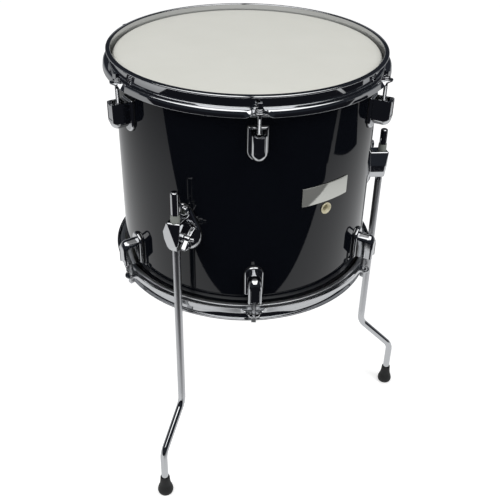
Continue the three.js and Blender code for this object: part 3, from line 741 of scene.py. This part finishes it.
def tension_rod(turn):
    """Threaded rod with a collar, a square key end and a washer, turned by so many degrees."""
    ridges = []
    height = ROD_END + 1.2
    while height < THREAD_TOP:
        ridges.append((ROD_RADIUS - THREAD_DEPTH, height))
        ridges.append((ROD_RADIUS, height + THREAD_PITCH / 2))
        height += THREAD_PITCH
    rod = lathe([
        (0, ROD_END),
        (ROD_RADIUS - 0.8, ROD_END),
        *ridges,
        (ROD_RADIUS - 0.1, height + 0.4),
        (ROD_RADIUS - 0.1, COLLAR_BOTTOM - 0.2, 0.15),
        (COLLAR_RADIUS, COLLAR_BOTTOM - 0.2, 0.3),
        (COLLAR_RADIUS, COLLAR_TOP, 0.7),
        (0, COLLAR_TOP),
    ], SMALL_STEPS, 3)
    washer = lathe([
        (ROD_RADIUS + 0.1, WASHER_BOTTOM),
        (WASHER_RADIUS, WASHER_BOTTOM, 0.3),
        (WASHER_RADIUS, COLLAR_BOTTOM - 0.2, 0.5),
        (ROD_RADIUS + 0.1, COLLAR_BOTTOM - 0.2),
    ], SMALL_STEPS, 3)
    key = bmesh.new()
    bmesh.ops.create_cube(key, size=1)
    bottom = COLLAR_TOP - 0.6
    moved(
        key,
        Matrix.Diagonal((KEY_SQUARE, KEY_SQUARE, KEY_TOP - bottom, 1)),
        Matrix.Translation((0, 0, (KEY_TOP + bottom) / 2)),
    )
    soften(key, 0.45, 3, 60, lambda edge: abs(edge.verts[0].co.z - edge.verts[1].co.z) > 1)
    soften(key, 0.9, 2, 60, lambda edge: all(vert.co.z > KEY_TOP - 0.01 for vert in edge.verts))
    moved(key, Matrix.Rotation(radians(turn), 4, "Z"))
    return on_rod(gather(rod, washer, key))


def pan_screw(radius, head_radius, head_height, end, across, up):
    """Screw that comes through the shell from inside, with its domed head on the inner face."""
    face = SHELL_RADIUS - SHELL_WALL - 0.3
    return outward(lathe([
        (0, face - head_height),
        (head_radius * 0.75, face - head_height, 0.8),
        (head_radius, face - head_height * 0.4, 0.6),
        (head_radius, face),
        (radius, face),
        (radius, end),
        (0, end),
    ], SCREW_STEPS), across, up)


def lug_outline(step):
    """Square at the open end and fully round at the closed one, grown by step."""
    half = LUG_PLATE_HALF + step
    top = LUG_CENTRE + LUG_PLATE_HEIGHT / 2 + step
    bottom = LUG_CENTRE - LUG_PLATE_HEIGHT / 2 - step
    return sketch([
        (half, top, 1.6), (-half, top, 1.6), (-half, bottom, half), (half, bottom, half),
    ], 12)


def lug():
    """Cast lug: a thin curved plate and a body with slanted corners and a domed end, hollow under
    the hoop's ear."""
    flank = LUG_FRONT - LUG_CORNER_DEPTH
    round_centre = LUG_BOTTOM + LUG_BODY_HALF
    sections = [
        moved(sketch([
            (-LUG_BODY_HALF, PLATE_BACK + 1),
            (LUG_BODY_HALF, PLATE_BACK + 1),
            (LUG_BODY_HALF, flank, 1.3),
            (LUG_PANEL_HALF, LUG_FRONT, 0.5),
            (-LUG_PANEL_HALF, LUG_FRONT, 0.5),
            (-LUG_BODY_HALF, flank, 1.3),
        ], 5), UPWARD, Matrix.Translation((0, 0, height)))
        for height in (LUG_TOP, round_centre + 2)
    ]
    nose = bmesh.new()
    bmesh.ops.create_uvsphere(nose, u_segments=48, v_segments=32, radius=1)
    moved(
        nose, Matrix.Diagonal((LUG_BODY_HALF, LUG_DOME, LUG_BODY_HALF, 1)),
        Matrix.Translation((0, LUG_DOME - LUG_FRONT, round_centre)),
    )
    end = moved(
        oval(LUG_BODY_HALF, LUG_BODY_HALF, round_centre),
        Matrix.Translation((0, -PLATE_BACK - 1, 0)),
    )
    body = hull(gather(*sections, nose, end))
    inner, sunk = LUG_PANEL_HALF - LUG_FRAME, LUG_FRONT - LUG_PANEL_DEPTH
    panel = drawn(sketch([
        (-inner, sunk), (inner, sunk),
        (inner + 0.6, LUG_FRONT + 0.3), (-inner - 0.6, LUG_FRONT + 0.3),
    ]), LUG_BOTTOM + LUG_DOME + 4, LUG_TOP - 1.6, upward=True)
    near, far = ROD_CIRCLE - POCKET_REACH, ROD_CIRCLE + POCKET_REACH
    pocket = drawn(sketch([
        (-POCKET_HALF, near, 1.5), (POCKET_HALF, near, 1.5),
        (POCKET_HALF, far, 2.6), (-POCKET_HALF, far, 2.6),
    ]), LUG_TOP - POCKET_DEPTH, LUG_TOP + SPARE, upward=True)
    dip = outward(plug(DIP_RADIUS, ROD_CIRCLE, LUG_FRONT + SPARE, 64), 0, DIP_CENTRE)
    thread = on_rod(plug(LUG_BORE, ROD_END - 3, LUG_TOP))
    body = combine("DIFFERENCE", body, pocket, dip, thread, tidy=False)
    soften(body, 0.8, 3, 24, lambda edge: min(vert.co.z for vert in edge.verts) > LUG_TOP - 4.5)
    body = combine("DIFFERENCE", body, panel, tidy=False)
    nut = on_rod(lathe([
        (NUT_INNER, LUG_TOP - POCKET_DEPTH), (NUT_OUTER, LUG_TOP - POCKET_DEPTH),
        (NUT_OUTER, LUG_TOP - 0.6, 0.5), (NUT_INNER, LUG_TOP - 0.6, 0.3),
    ], SMALL_STEPS))
    plate = curved_plate(lug_outline, PLATE_BACK, PLATE_THICKNESS, PLATE_RIM)
    screws = [
        pan_screw(*LUG_SCREW, PLATE_BACK + 1, 0, LUG_CENTRE + sign * LUG_SCREW_SPACING / 2)
        for sign in (-1, 1)
    ]
    return gather(body, nut, plate, *screws)


def gasket(outline, lines=13):
    """A thin plate that shows all round the casting with that outline."""
    return curved_plate(
        lambda step: outline(GASKET_STEP + step), GASKET_BACK, GASKET_THICKNESS, GASKET_RIM, lines,
    )


# The bracket's block: its outline seen from the front, and the planes that close it, each as a
# point and a direction on the bench.
SHIELD = [
    (BLOCK_RIGHT, BLOCK_TOP), (-8.8, BLOCK_TOP), (-17.2, -22.5), (-16.0, -33.5),
    (-11.0, -43.5), (-4.0, BLOCK_BOTTOM), (4.6, BLOCK_BOTTOM), (BLOCK_RIGHT, -31.0),
]
FRONT_CORNER = (-7.8, -208.8, BLOCK_TOP)
FRONT_PLANE = (FRONT_CORNER, (0.21, -1.0, 0.22))
FACET_PLANE = (FRONT_CORNER, (-0.4, -1.0, -0.07))
HEEL_PLANE = ((0, -211.0, -37.0), (0, -1.0, -0.6))
BACK_PLANE = ((0, -BLOCK_BACK, 0), (0, 1, 0))


def sliced(bm, point, direction):
    """A convex solid with what lies beyond the plane cut off, and the cut closed."""
    cut = sawn(bm, point, direction, clear_outer=True)
    bmesh.ops.contextual_create(bm, geom=only(BMEdge, cut))
    return bm


def rounded_block(planes, inset, radius):
    """The convex solid inside the planes, moved in by inset, with every edge rounded."""
    core = bmesh.new()
    bmesh.ops.create_cube(
        core, size=300, matrix=Matrix.Translation((0, -LEG_CIRCLE, BRACKET_CENTRE)),
    )
    for point, direction in planes:
        normal = Vector(direction).normalized()
        sliced(core, Vector(point) - (inset + radius) * normal, normal)
    bm = bmesh.new()
    for vert in core.verts:
        bmesh.ops.create_uvsphere(
            bm, u_segments=24, v_segments=12, radius=radius, matrix=Matrix.Translation(vert.co),
        )
    core.free()
    return hull(bm)


def bracket_outline(step):
    """Two ovals, whose hull is the egg-shaped base, grown by step."""
    bottom, top = BRACKET_CENTRE - BRACKET_HALF_HEIGHT, BRACKET_CENTRE + BRACKET_HALF_HEIGHT
    return gather(
        oval(BRACKET_HALF_WIDTH + step, BRACKET_LOW_HALF + step, bottom + BRACKET_LOW_HALF),
        oval(BRACKET_CROWN + step, BRACKET_CROWN + step, top - BRACKET_CROWN),
    )


def leg_bracket():
    """Cast bracket: an egg-shaped base, a faceted block for the leg with a hollow top, two screw
    bosses and a boss for the bolt."""
    flanks = [
        ((x0, 0, z0), (z1 - z0, 0, x0 - x1))
        for (x0, z0), (x1, z1) in zip(SHIELD, SHIELD[1:] + SHIELD[:1])
    ]
    planes = [*flanks, FRONT_PLANE, FACET_PLANE, HEEL_PLANE, BACK_PLANE]
    block = rounded_block(planes, 0, BLOCK_ROUND)
    roof = ((0, 0, BLOCK_TOP + 8), (0, 0, 1))
    ground = ((0, 0, BLOCK_TOP - BLOCK_HOLLOW - BLOCK_WALL), (0, 0, -1))
    hollow = rounded_block([roof, *planes[1:], ground], BLOCK_WALL, 0.7)
    moved(hollow, Matrix.Translation((0, 0, 2 * BLOCK_WALL)))
    stand = BLOCK_RIGHT + BOLT_BOSS_STAND
    boss = on_bolt(lathe([
        (0, 0), (BOLT_BOSS_RADIUS, 0), (BOLT_BOSS_RADIUS, stand, 1.2), (0, stand),
    ]))
    guide, seat = LEG_RADIUS + LEG_PLAY, BUSH_OUTER + 0.2
    bore = on_leg(lathe([
        (0, BLOCK_BOTTOM - SPARE), (guide, BLOCK_BOTTOM - SPARE), (guide, BUSH_BOTTOM - 0.2),
        (seat, BUSH_BOTTOM - 0.2), (seat, BLOCK_TOP + SPARE), (0, BLOCK_TOP + SPARE),
    ]))
    bolt_hole = on_bolt(plug(BOLT_HOLE, 0, stand + SPARE))
    block = combine("UNION", block, boss, tidy=False)
    block = combine("DIFFERENCE", block, hollow, bore, bolt_hole, tidy=False)
    base = curved_plate(bracket_outline, PLATE_BACK, BRACKET_BASE, BRACKET_RIM, 21)
    bosses = [
        outward(lathe([
            (0, PLATE_BACK + 1), (BOSS_FOOT, PLATE_BACK + 1),
            (BOSS_FOOT, PLATE_BACK + BOSS_RISE, 1.0),
            (BOSS_END, PLATE_BACK + BOSS_STAND, 1.6), (0, PLATE_BACK + BOSS_STAND),
        ], segments=6), BOSS_OFFSET, BRACKET_CENTRE + sign * BOSS_SPACING / 2)
        for sign in (-1, 1)
    ]
    return gather(block, base, *bosses)


def leg_bush():
    """Nylon bush in the block. Above it stands a thin cone round the leg, nearly straight."""
    shoulder, top = BLOCK_TOP - BLOCK_HOLLOW, BLOCK_TOP + BUSH_STAND
    return on_leg(lathe([
        (BUSH_BORE, BUSH_BOTTOM, 0.3), (BUSH_OUTER, BUSH_BOTTOM, 0.3), (BUSH_OUTER, shoulder, 0.5),
        (BUSH_NECK, shoulder + 0.4), (BUSH_TOP, top), (BUSH_BORE, top),
    ]))


def wing_bolt():
    """Bolt with a hub, two flat wings with round tips, and the stud's end past the hub."""
    stud = lathe([
        (0, STUD_START), (STUD_RADIUS, STUD_START, 0.5), (STUD_RADIUS, HUB_START),
        (HUB_RADIUS, HUB_START, 0.8), (HUB_RADIUS, HUB_END, 1.2),
        (STUD_RADIUS + 0.1, HUB_END + 0.9), (STUD_RADIUS + 0.1, STUD_END, 0.8), (0, STUD_END),
    ], 40)
    wings = drawn(sketch([
        (-16.6, 14.8, 2.0), (-8.0, 14.2, 3.0), (0, 14.2), (8.0, 14.2, 3.0), (16.6, 14.8, 2.0),
        (16.9, 21.4, 2.2), (8.0, 20.4, 4.0), (0, 20.2), (-8.0, 20.4, 4.0), (-16.9, 21.4, 2.2),
    ], 8), -WING_HALF_THICKNESS, WING_HALF_THICKNESS)
    soften(wings, 1.0, 4, 60)
    return on_bolt(moved(gather(stud, wings), Matrix.Rotation(radians(WING_TURN), 4, "Z")))


def leg_rod():
    """Bent rod: straight down, out at the knee, and down again at the ankle, with rounded ends."""
    bm = bmesh.new()
    circle = bmesh.ops.create_circle(bm, cap_ends=False, radius=LEG_RADIUS, segments=40)
    bmesh.ops.translate(bm, verts=circle["verts"], vec=(0, -LEG_CIRCLE, LEG_TOP))
    top = bm.edges[:]
    ring = top

    def run(edges, vector):
        made = bmesh.ops.extrude_edge_only(bm, edges=edges)["geom"]
        bmesh.ops.translate(bm, verts=only(BMVert, made), vec=vector)
        return only(BMEdge, made)

    def bent(edges, centre, angle):
        made = bmesh.ops.spin(
            bm, geom=edges, cent=centre, axis=(1, 0, 0), dvec=(0, 0, 0), angle=radians(angle),
            steps=12, use_merge=False, use_duplicate=False,
        )["geom_last"]
        return only(BMEdge, made)

    tangent = LEG_BEND * tan(radians(22.5))
    slope = Vector((0, -1, -1)).normalized()
    knee = Vector((0, -LEG_CIRCLE, KNEE))
    ankle = Vector((0, -LEG_CIRCLE - LEG_OUT, ANKLE))
    ring = run(ring, (0, 0, KNEE + tangent - LEG_TOP))
    ring = bent(ring, (0, -LEG_CIRCLE - LEG_BEND, KNEE + tangent), -45)
    ring = run(ring, slope * ((ankle - knee).length - 2 * tangent))
    start = ankle - slope * tangent
    ring = bent(ring, start + Vector((0, 1, -1)).normalized() * LEG_BEND, 45)
    ring = run(ring, (0, 0, FOOT_BED + 0.3 - MID_HEIGHT - (ANKLE - tangent)))
    bmesh.ops.contextual_create(bm, geom=top)
    bmesh.ops.contextual_create(bm, geom=ring)
    bmesh.ops.recalc_face_normals(bm, faces=bm.faces)
    soften(bm, 2.4, 5, 60)
    return bm


def foot():
    """Rubber foot, its outline given as shares of its radius and height, with a bed for the rod."""
    shares = [(0.84, 0), (0.97, 0.08), (1, 0.2), (0.88, 0.36), (0.71, 0.54), (0.63, 0.78)]
    return moved(lathe([
        (0, 0),
        *[(out * FOOT_RADIUS, up * FOOT_HEIGHT, 1.6) for out, up in shares],
        (FOOT_COLLAR, FOOT_HEIGHT, 0.8),
        (LEG_RADIUS + 0.1, FOOT_HEIGHT, 0.3),
        (LEG_RADIUS + 0.1, FOOT_BED),
        (0, FOOT_BED),
    ], 64), Matrix.Translation((0, -LEG_CIRCLE - LEG_OUT, -MID_HEIGHT)))


def badge():
    def outline(step):
        half = BADGE_HALF_WIDTH + step
        low = BADGE_CENTRE - BADGE_HALF_HEIGHT - step
        high = BADGE_CENTRE + BADGE_HALF_HEIGHT + step
        corners = ((half, high), (-half, high), (-half, low), (half, low))
        return sketch([(*corner, BADGE_CORNER) for corner in corners])

    return curved_plate(outline, SHELL_RADIUS + 0.2, BADGE_THICKNESS, BADGE_RIM, 41)


def vent_eyelet():
    """Eyelet pressed through the shell, its flange rolled over outside and its mouth a funnel."""
    return outward(lathe([
        (EYELET_BORE, EYELET_END), (EYELET_TUBE, EYELET_END),
        (EYELET_TUBE, SHELL_RADIUS + 0.2), (EYELET_FLANGE, SHELL_RADIUS + 0.2, 0.3),
        (EYELET_FLANGE, SHELL_RADIUS + 1.9, 0.8), (EYELET_FLANGE - 1.1, SHELL_RADIUS + 2.0, 0.3),
        (EYELET_BORE, SHELL_RADIUS - 1.2, 0.6),
    ], 64, 5), 0, VENT_RISE)


def vent_washer():
    face = SHELL_RADIUS - SHELL_WALL - 0.1
    inner, outer = EYELET_TUBE + 0.1, EYELET_FLANGE
    return outward(lathe([
        (inner, face - 1), (outer, face - 1, 0.3), (outer, face), (inner, face),
    ]), 0, VENT_RISE)


# The drum, put together

piece("drum_shell", shell(), place(), [LACQUER, MAPLE], BODY, "black_lacquer", ["shell"])
shapes = {
    "head": (head(), COATED_FILM, "coated_film"),
    "flesh_hoop": (flesh_hoop(), ALUMINIUM, "aluminium_channel"),
    "counter_hoop": (counter_hoop(), HOOP_CHROME, "chromed_steel"),
}
lug_shape, lug_gasket_shape = lug(), gasket(lug_outline)
for end, over in (("batter", False), ("resonant", True)):
    for name, (shape, finish, slot) in shapes.items():
        piece(
            f"{end}_{name}_dressed", shape.copy(), place(0, over), finish, BODY, slot,
            [f"{end}_{name}"],
        )
    for i in range(LUGS):
        turn = 360 / LUGS * i * (-1 if over else 1)
        piece(
            f"{end}_lug_{i + 1}_casting", lug_shape.copy(), place(turn, over), CAST_CHROME, BODY,
            "chromed_casting", [f"{end}_lug_{i + 1}"], weighted=True,
        )
        piece(
            f"{end}_lug_{i + 1}_gasket", lug_gasket_shape.copy(), place(turn, over), GASKET, BODY,
            "black_gasket",
        )
        piece(
            f"{end}_rod_{i + 1}_threaded", tension_rod(KEY_TURNS[i]), place(turn, over),
            ROD_CHROME, f"{end}_rod_{i + 1}", "chromed_steel",
            [f"{end}_tension_rod_{i + 1}"], weighted=True,
        )

bracket_shape, bracket_gasket_shape = leg_bracket(), gasket(bracket_outline, 21)
for name, turn in LEG_TURNS.items():
    lifted = place(turn, lift=LEG_LIFTS[name])
    piece(
        f"leg_bracket_{name}_casting", bracket_shape.copy(), lifted, CAST_CHROME, BODY,
        "chromed_casting", [f"leg_bracket_{name}"], weighted=True,
    )
    piece(
        f"leg_bracket_{name}_gasket", bracket_gasket_shape.copy(), lifted, GASKET, BODY,
        "black_gasket", [f"leg_bracket_gasket_{name}"],
    )
    for part, sign in (("lower", -1), ("upper", 1)):
        piece(
            f"leg_bracket_{name}_{part}_screw",
            pan_screw(*BRACKET_SCREW, PLATE_BACK + 6, BOSS_OFFSET,
                      BRACKET_CENTRE + sign * BOSS_SPACING / 2),
            lifted, ZINC, BODY, "zinc_steel", [f"leg_bracket_screw_{name}_{part}"],
        )
    piece(
        f"leg_bush_{name}_turned", leg_bush(), lifted, NYLON, f"leg_bush_{name}", "grey_nylon",
        [f"leg_bush_{name}"],
    )
    piece(
        f"leg_wing_bolt_{name}_cast", wing_bolt(), lifted, CAST_CHROME, f"wing_bolt_{name}",
        "chromed_casting", [f"leg_wing_bolt_{name}"], weighted=True,
    )
    swivelled = (
        place(turn) @ Matrix.Translation((0, -LEG_CIRCLE, BRACKET_CENTRE))
        @ Matrix.Rotation(radians(LEG_SWIVELS[name]), 4, "Z")
        @ Matrix.Translation((0, LEG_CIRCLE, -BRACKET_CENTRE))
    )
    piece(
        f"leg_{name}_bent_rod", leg_rod(), swivelled, ROD_CHROME, f"leg_{name}",
        "chromed_steel", [f"leg_rod_{name}"],
    )
    piece(
        f"leg_{name}_rubber_foot", foot(), swivelled, RUBBER, f"leg_{name}", "black_rubber",
        [f"leg_foot_{name}"],
    )

piece("badge_plate", badge(), place(BADGE_TURN), BADGE_NICKEL, BODY, "nickel_plate", ["badge"])
piece(
    "vent_eyelet", vent_eyelet(), place(VENT_TURN), EYELET, BODY, "brass_eyelet",
    ["vent_grommet"],
)
piece(
    "vent_eyelet_ring", vent_washer(), place(VENT_TURN), EYELET, BODY, "brass_eyelet",
    ["vent_washer"],
)


# Studio

def stage_piece(name, bm, material):
    mesh = as_mesh(name, bm)
    mesh.materials.append(material)
    obj = linked(name, mesh)
    return obj


FLOOR_LIFT = 0.5                # added to the lit floor for the camera
# Painted light: metal and gloss see the floor as a glow that is brightest round the drum and fades
# away from it, not as the lit floor.
PAINTED_POOL_NEAR = 0.85               # painted light: the floor's glow in reflections, beside the drum
PAINTED_POOL_FAR = 0.4                 # and its painted glow where the lamps would no longer reach it
PAINTED_POOL_CENTRE = (DRUM.x, DRUM.y - 0.25, 0)
PAINTED_POOL_EDGE = (0.6, 2.0)
PAINTED_SHADOW_CENTRE = (DRUM.x, DRUM.y - 0.46, 0)   # painted shadow of the drum in front of it, seen only in reflections
PAINTED_SHADOW_EDGE = (0.05, 0.24)
PAINTED_SHADOW_LEVEL = 0.4
FLOOR_RADIUS = 7.0
# Painted shade and light: a room that only reflections show, slate all round and grey low at the
# back.
ROOM_RADIUS = 4.2
ROOM_HEIGHT = 3.6
GREY_WALL_TOP = 1.5
ROOM_LIGHT = 0.55               # the white room's light on matt surfaces
# Painted light: glowing panels overhead that are no lamps and show only in reflections.
PANEL_HEIGHT = 2.6
PANEL_ENDS = (-3.5, 0.4)        # front and back, from the drum's axis
SOFTBOX_SIZE = (0.9, 1.3)
SOFTBOX_POWER = 17.5            # watts
SOFTBOX_PLACE = (1.35, -0.95, 2.3)
SOFTBOX_AIM = 0.45              # height that they point at, on the drum's axis


def zone(tree, coordinates, centre, edge, near, far):
    """A value that goes smoothly from near to far with the distance from a point of the floor."""
    away = add_node(
        tree, "ShaderNodeVectorMath", {"operation": "DISTANCE"}, (coordinates, centre),
    )
    return spread(
        tree, away.outputs["Value"], near, far, {"interpolation_type": "SMOOTHSTEP"},
        From_Min=edge[0], From_Max=edge[1],
    )


def glow(tree, colour, strength):
    node = add_node(tree, "ShaderNodeEmission", Color=colour, Strength=strength)
    return node.outputs["Emission"]


def floor_material():
    """White studio floor. The camera sees it lifted to white, with a soft shadow of the drum, and
    metal and gloss see a painted pool of light round the drum, with a painted shadow of the drum in
    front of it."""
    material, tree, coordinates = blank("White studio floor")
    path = add_node(tree, "ShaderNodeLightPath").outputs
    pool = zone(tree, coordinates, PAINTED_POOL_CENTRE, PAINTED_POOL_EDGE, PAINTED_POOL_NEAR, PAINTED_POOL_FAR)
    # Painted shadow: the floor's glow is darker in front of the drum.
    shade = zone(tree, coordinates, PAINTED_SHADOW_CENTRE, PAINTED_SHADOW_EDGE, PAINTED_SHADOW_LEVEL, 1.0)
    seen = maths(tree, "MAXIMUM", path["Is Camera Ray"], path["Is Transmission Ray"])
    paint = add_node(tree, "ShaderNodeBsdfDiffuse", Color=linear("ececec")).outputs["BSDF"]
    lift = glow(tree, (1, 1, 1, 1), spread(tree, seen, 0.0, FLOOR_LIFT))
    lit = add_node(tree, "ShaderNodeAddShader", (), (paint, lift)).outputs["Shader"]
    # Painted light and shade: glossy rays see this glow, the painted pool times the painted shadow.
    painted_floor_reflection = glow(tree, (0.98, 0.99, 1, 1), maths(tree, "MULTIPLY", pool, shade))
    both = add_node(
        tree, "ShaderNodeMixShader", (), (path["Is Glossy Ray"], lit, painted_floor_reflection),
    ).outputs["Shader"]
    add_node(tree, "ShaderNodeOutputMaterial", Surface=both)
    return material


def painted_reflection_material(name, colour, strength=1.0):
    """A glowing sheet, wall or panel of the studio that paints shade or light into reflections
    only.
    """
    material, tree, _ = blank(name)
    add_node(tree, "ShaderNodeOutputMaterial", Surface=glow(tree, linear(colour), strength))
    return material


def mirrored_only(obj):
    """Shows only in reflections, so that lacquer and chrome have a studio's dark bands, as painted
    shade and painted light.
    """
    obj.visible_camera = False
    obj.visible_diffuse = False
    obj.visible_shadow = False
    obj.visible_transmission = False


def stage_sheet(left, right, front, back, height):
    """A level sheet, its sides in metres from the drum's axis."""
    bm = bmesh.new()
    bmesh.ops.create_grid(bm, x_segments=1, y_segments=1, size=0.5)
    middle = (DRUM.x + (left + right) / 2, DRUM.y + (front + back) / 2, height)
    return moved(
        bm, Matrix.Diagonal((right - left, back - front, 1, 1)), Matrix.Translation(middle),
    )


floor_mesh = bmesh.new()
bmesh.ops.create_circle(floor_mesh, cap_ends=True, radius=FLOOR_RADIUS, segments=64)
stage_piece("studio_floor", floor_mesh, floor_material())
# Painted shade: dark glowing sheets on the floor that only reflections show, for the unlit parts of
# a studio.
PAINTED_DARK_REFLECTION = painted_reflection_material("Painted dark reflection sheet", "1a1b20")
# Painted light: the overhead panels glow for reflections only and light nothing.
PAINTED_OVERHEAD_LIGHT = painted_reflection_material("Painted overhead light", "ffffff", 2.0)
for name, sides, height, material in (
    ("studio_front_cloth", (-4, 4, -4.9, -0.5), 0.002, PAINTED_DARK_REFLECTION),
    ("studio_side_cloth", (1.24, 2.6, -0.4, 0.27), 0.003, PAINTED_DARK_REFLECTION),
    ("studio_left_panel", (-2.2, -0.08, *PANEL_ENDS), PANEL_HEIGHT, PAINTED_OVERHEAD_LIGHT),
    ("studio_right_panel", (0.08, 1.8, *PANEL_ENDS), PANEL_HEIGHT, PAINTED_OVERHEAD_LIGHT),
):
    mirrored_only(stage_piece(name, stage_sheet(*sides, height), material))
# Painted shade and light: glowing slate walls and roof, grey low at the back, seen only in
# reflections.
room_mesh = bmesh.new()
bmesh.ops.create_cone(
    room_mesh, cap_ends=False, segments=64, radius1=ROOM_RADIUS, radius2=ROOM_RADIUS,
    depth=ROOM_HEIGHT, matrix=Matrix.Translation((0, 0, ROOM_HEIGHT / 2)),
)
sawn(room_mesh, (0, 0, GREY_WALL_TOP), (0, 0, 1))
for face in room_mesh.faces:
    middle = face.calc_center_median()
    face.material_index = int(middle.y > 0 and middle.z < GREY_WALL_TOP)
top_edges = [
    edge for edge in room_mesh.edges if all(vert.co.z > ROOM_HEIGHT - 0.1 for vert in edge.verts)
]
bmesh.ops.contextual_create(room_mesh, geom=top_edges)
reflection_walls = stage_piece("studio_reflection_wall", room_mesh, painted_reflection_material("Painted slate wall reflection", "2b2e34"))
reflection_walls.data.materials.append(painted_reflection_material("Painted grey wall reflection", "7c7e82"))
mirrored_only(reflection_walls)

world = bpy.data.worlds.new("White room")
bpy.context.scene.world = world
world.use_nodes = True
tree = world.node_tree
tree.nodes.clear()
path = add_node(tree, "ShaderNodeLightPath").outputs
seen = maths(tree, "MAXIMUM", path["Is Camera Ray"], path["Is Glossy Ray"])
seen = maths(tree, "MAXIMUM", seen, path["Is Transmission Ray"])
room = add_node(
    tree, "ShaderNodeBackground", Color=(1, 1, 1, 1), Strength=spread(tree, seen, ROOM_LIGHT, 1.0),
)
add_node(tree, "ShaderNodeOutputWorld", Surface=room.outputs[0])

for name, side in (("left_softbox", -1), ("right_softbox", 1)):
    position = Vector((side * SOFTBOX_PLACE[0], *SOFTBOX_PLACE[1:]))
    data = bpy.data.lights.new(name, "AREA")
    data.shape = "RECTANGLE"
    data.size, data.size_y = SOFTBOX_SIZE
    data.energy = SOFTBOX_POWER
    lamp = linked(name, data)
    lamp.location = position
    lamp.visible_glossy = False
    aim = Vector((DRUM.x, DRUM.y, SOFTBOX_AIM)) - position
    lamp.rotation_euler = aim.to_track_quat("-Z", "Y").to_euler()

# Camera, as fitted to the photograph
CAMERA_TURN = -4.572            # degrees round the drum from the front lug
CAMERA_DISTANCE = 0.99057       # from the drum's axis, level
CAMERA_HEIGHT = 0.94325
CAMERA_PITCH = 0.5682           # radians, looking down
CAMERA_ROLL = -0.0196
FOCAL_PIXELS = 761.075
SENSOR = 36.0
FRAME_PIXELS = 500
CENTRE = (243.77, 235.61)       # where the lens looks, in pixels from the top left

data = bpy.data.cameras.new("camera")
data.sensor_width = SENSOR
data.lens = FOCAL_PIXELS * SENSOR / FRAME_PIXELS
data.shift_x = (FRAME_PIXELS / 2 - CENTRE[0]) / FRAME_PIXELS
data.shift_y = (CENTRE[1] - FRAME_PIXELS / 2) / FRAME_PIXELS
data.clip_start = 0.05
data.clip_end = 40
camera = linked("camera", data)
across = Vector((1, 0, 0))
upward = Vector((0, sin(CAMERA_PITCH), cos(CAMERA_PITCH)))
back = Vector((0, -cos(CAMERA_PITCH), sin(CAMERA_PITCH)))
right = cos(CAMERA_ROLL) * across - sin(CAMERA_ROLL) * upward
top = sin(CAMERA_ROLL) * across + cos(CAMERA_ROLL) * upward
axes = Matrix((right, top, back)).transposed().to_4x4()
swing = Matrix.Rotation(radians(CAMERA_TURN), 4, "Z")
position = Vector((DRUM.x, DRUM.y, 0)) + swing @ Vector((0, -CAMERA_DISTANCE, CAMERA_HEIGHT))
camera.matrix_world = Matrix.Translation(position) @ swing @ axes
bpy.context.scene.camera = camera
bpy.context.scene.view_settings.view_transform = "Standard"
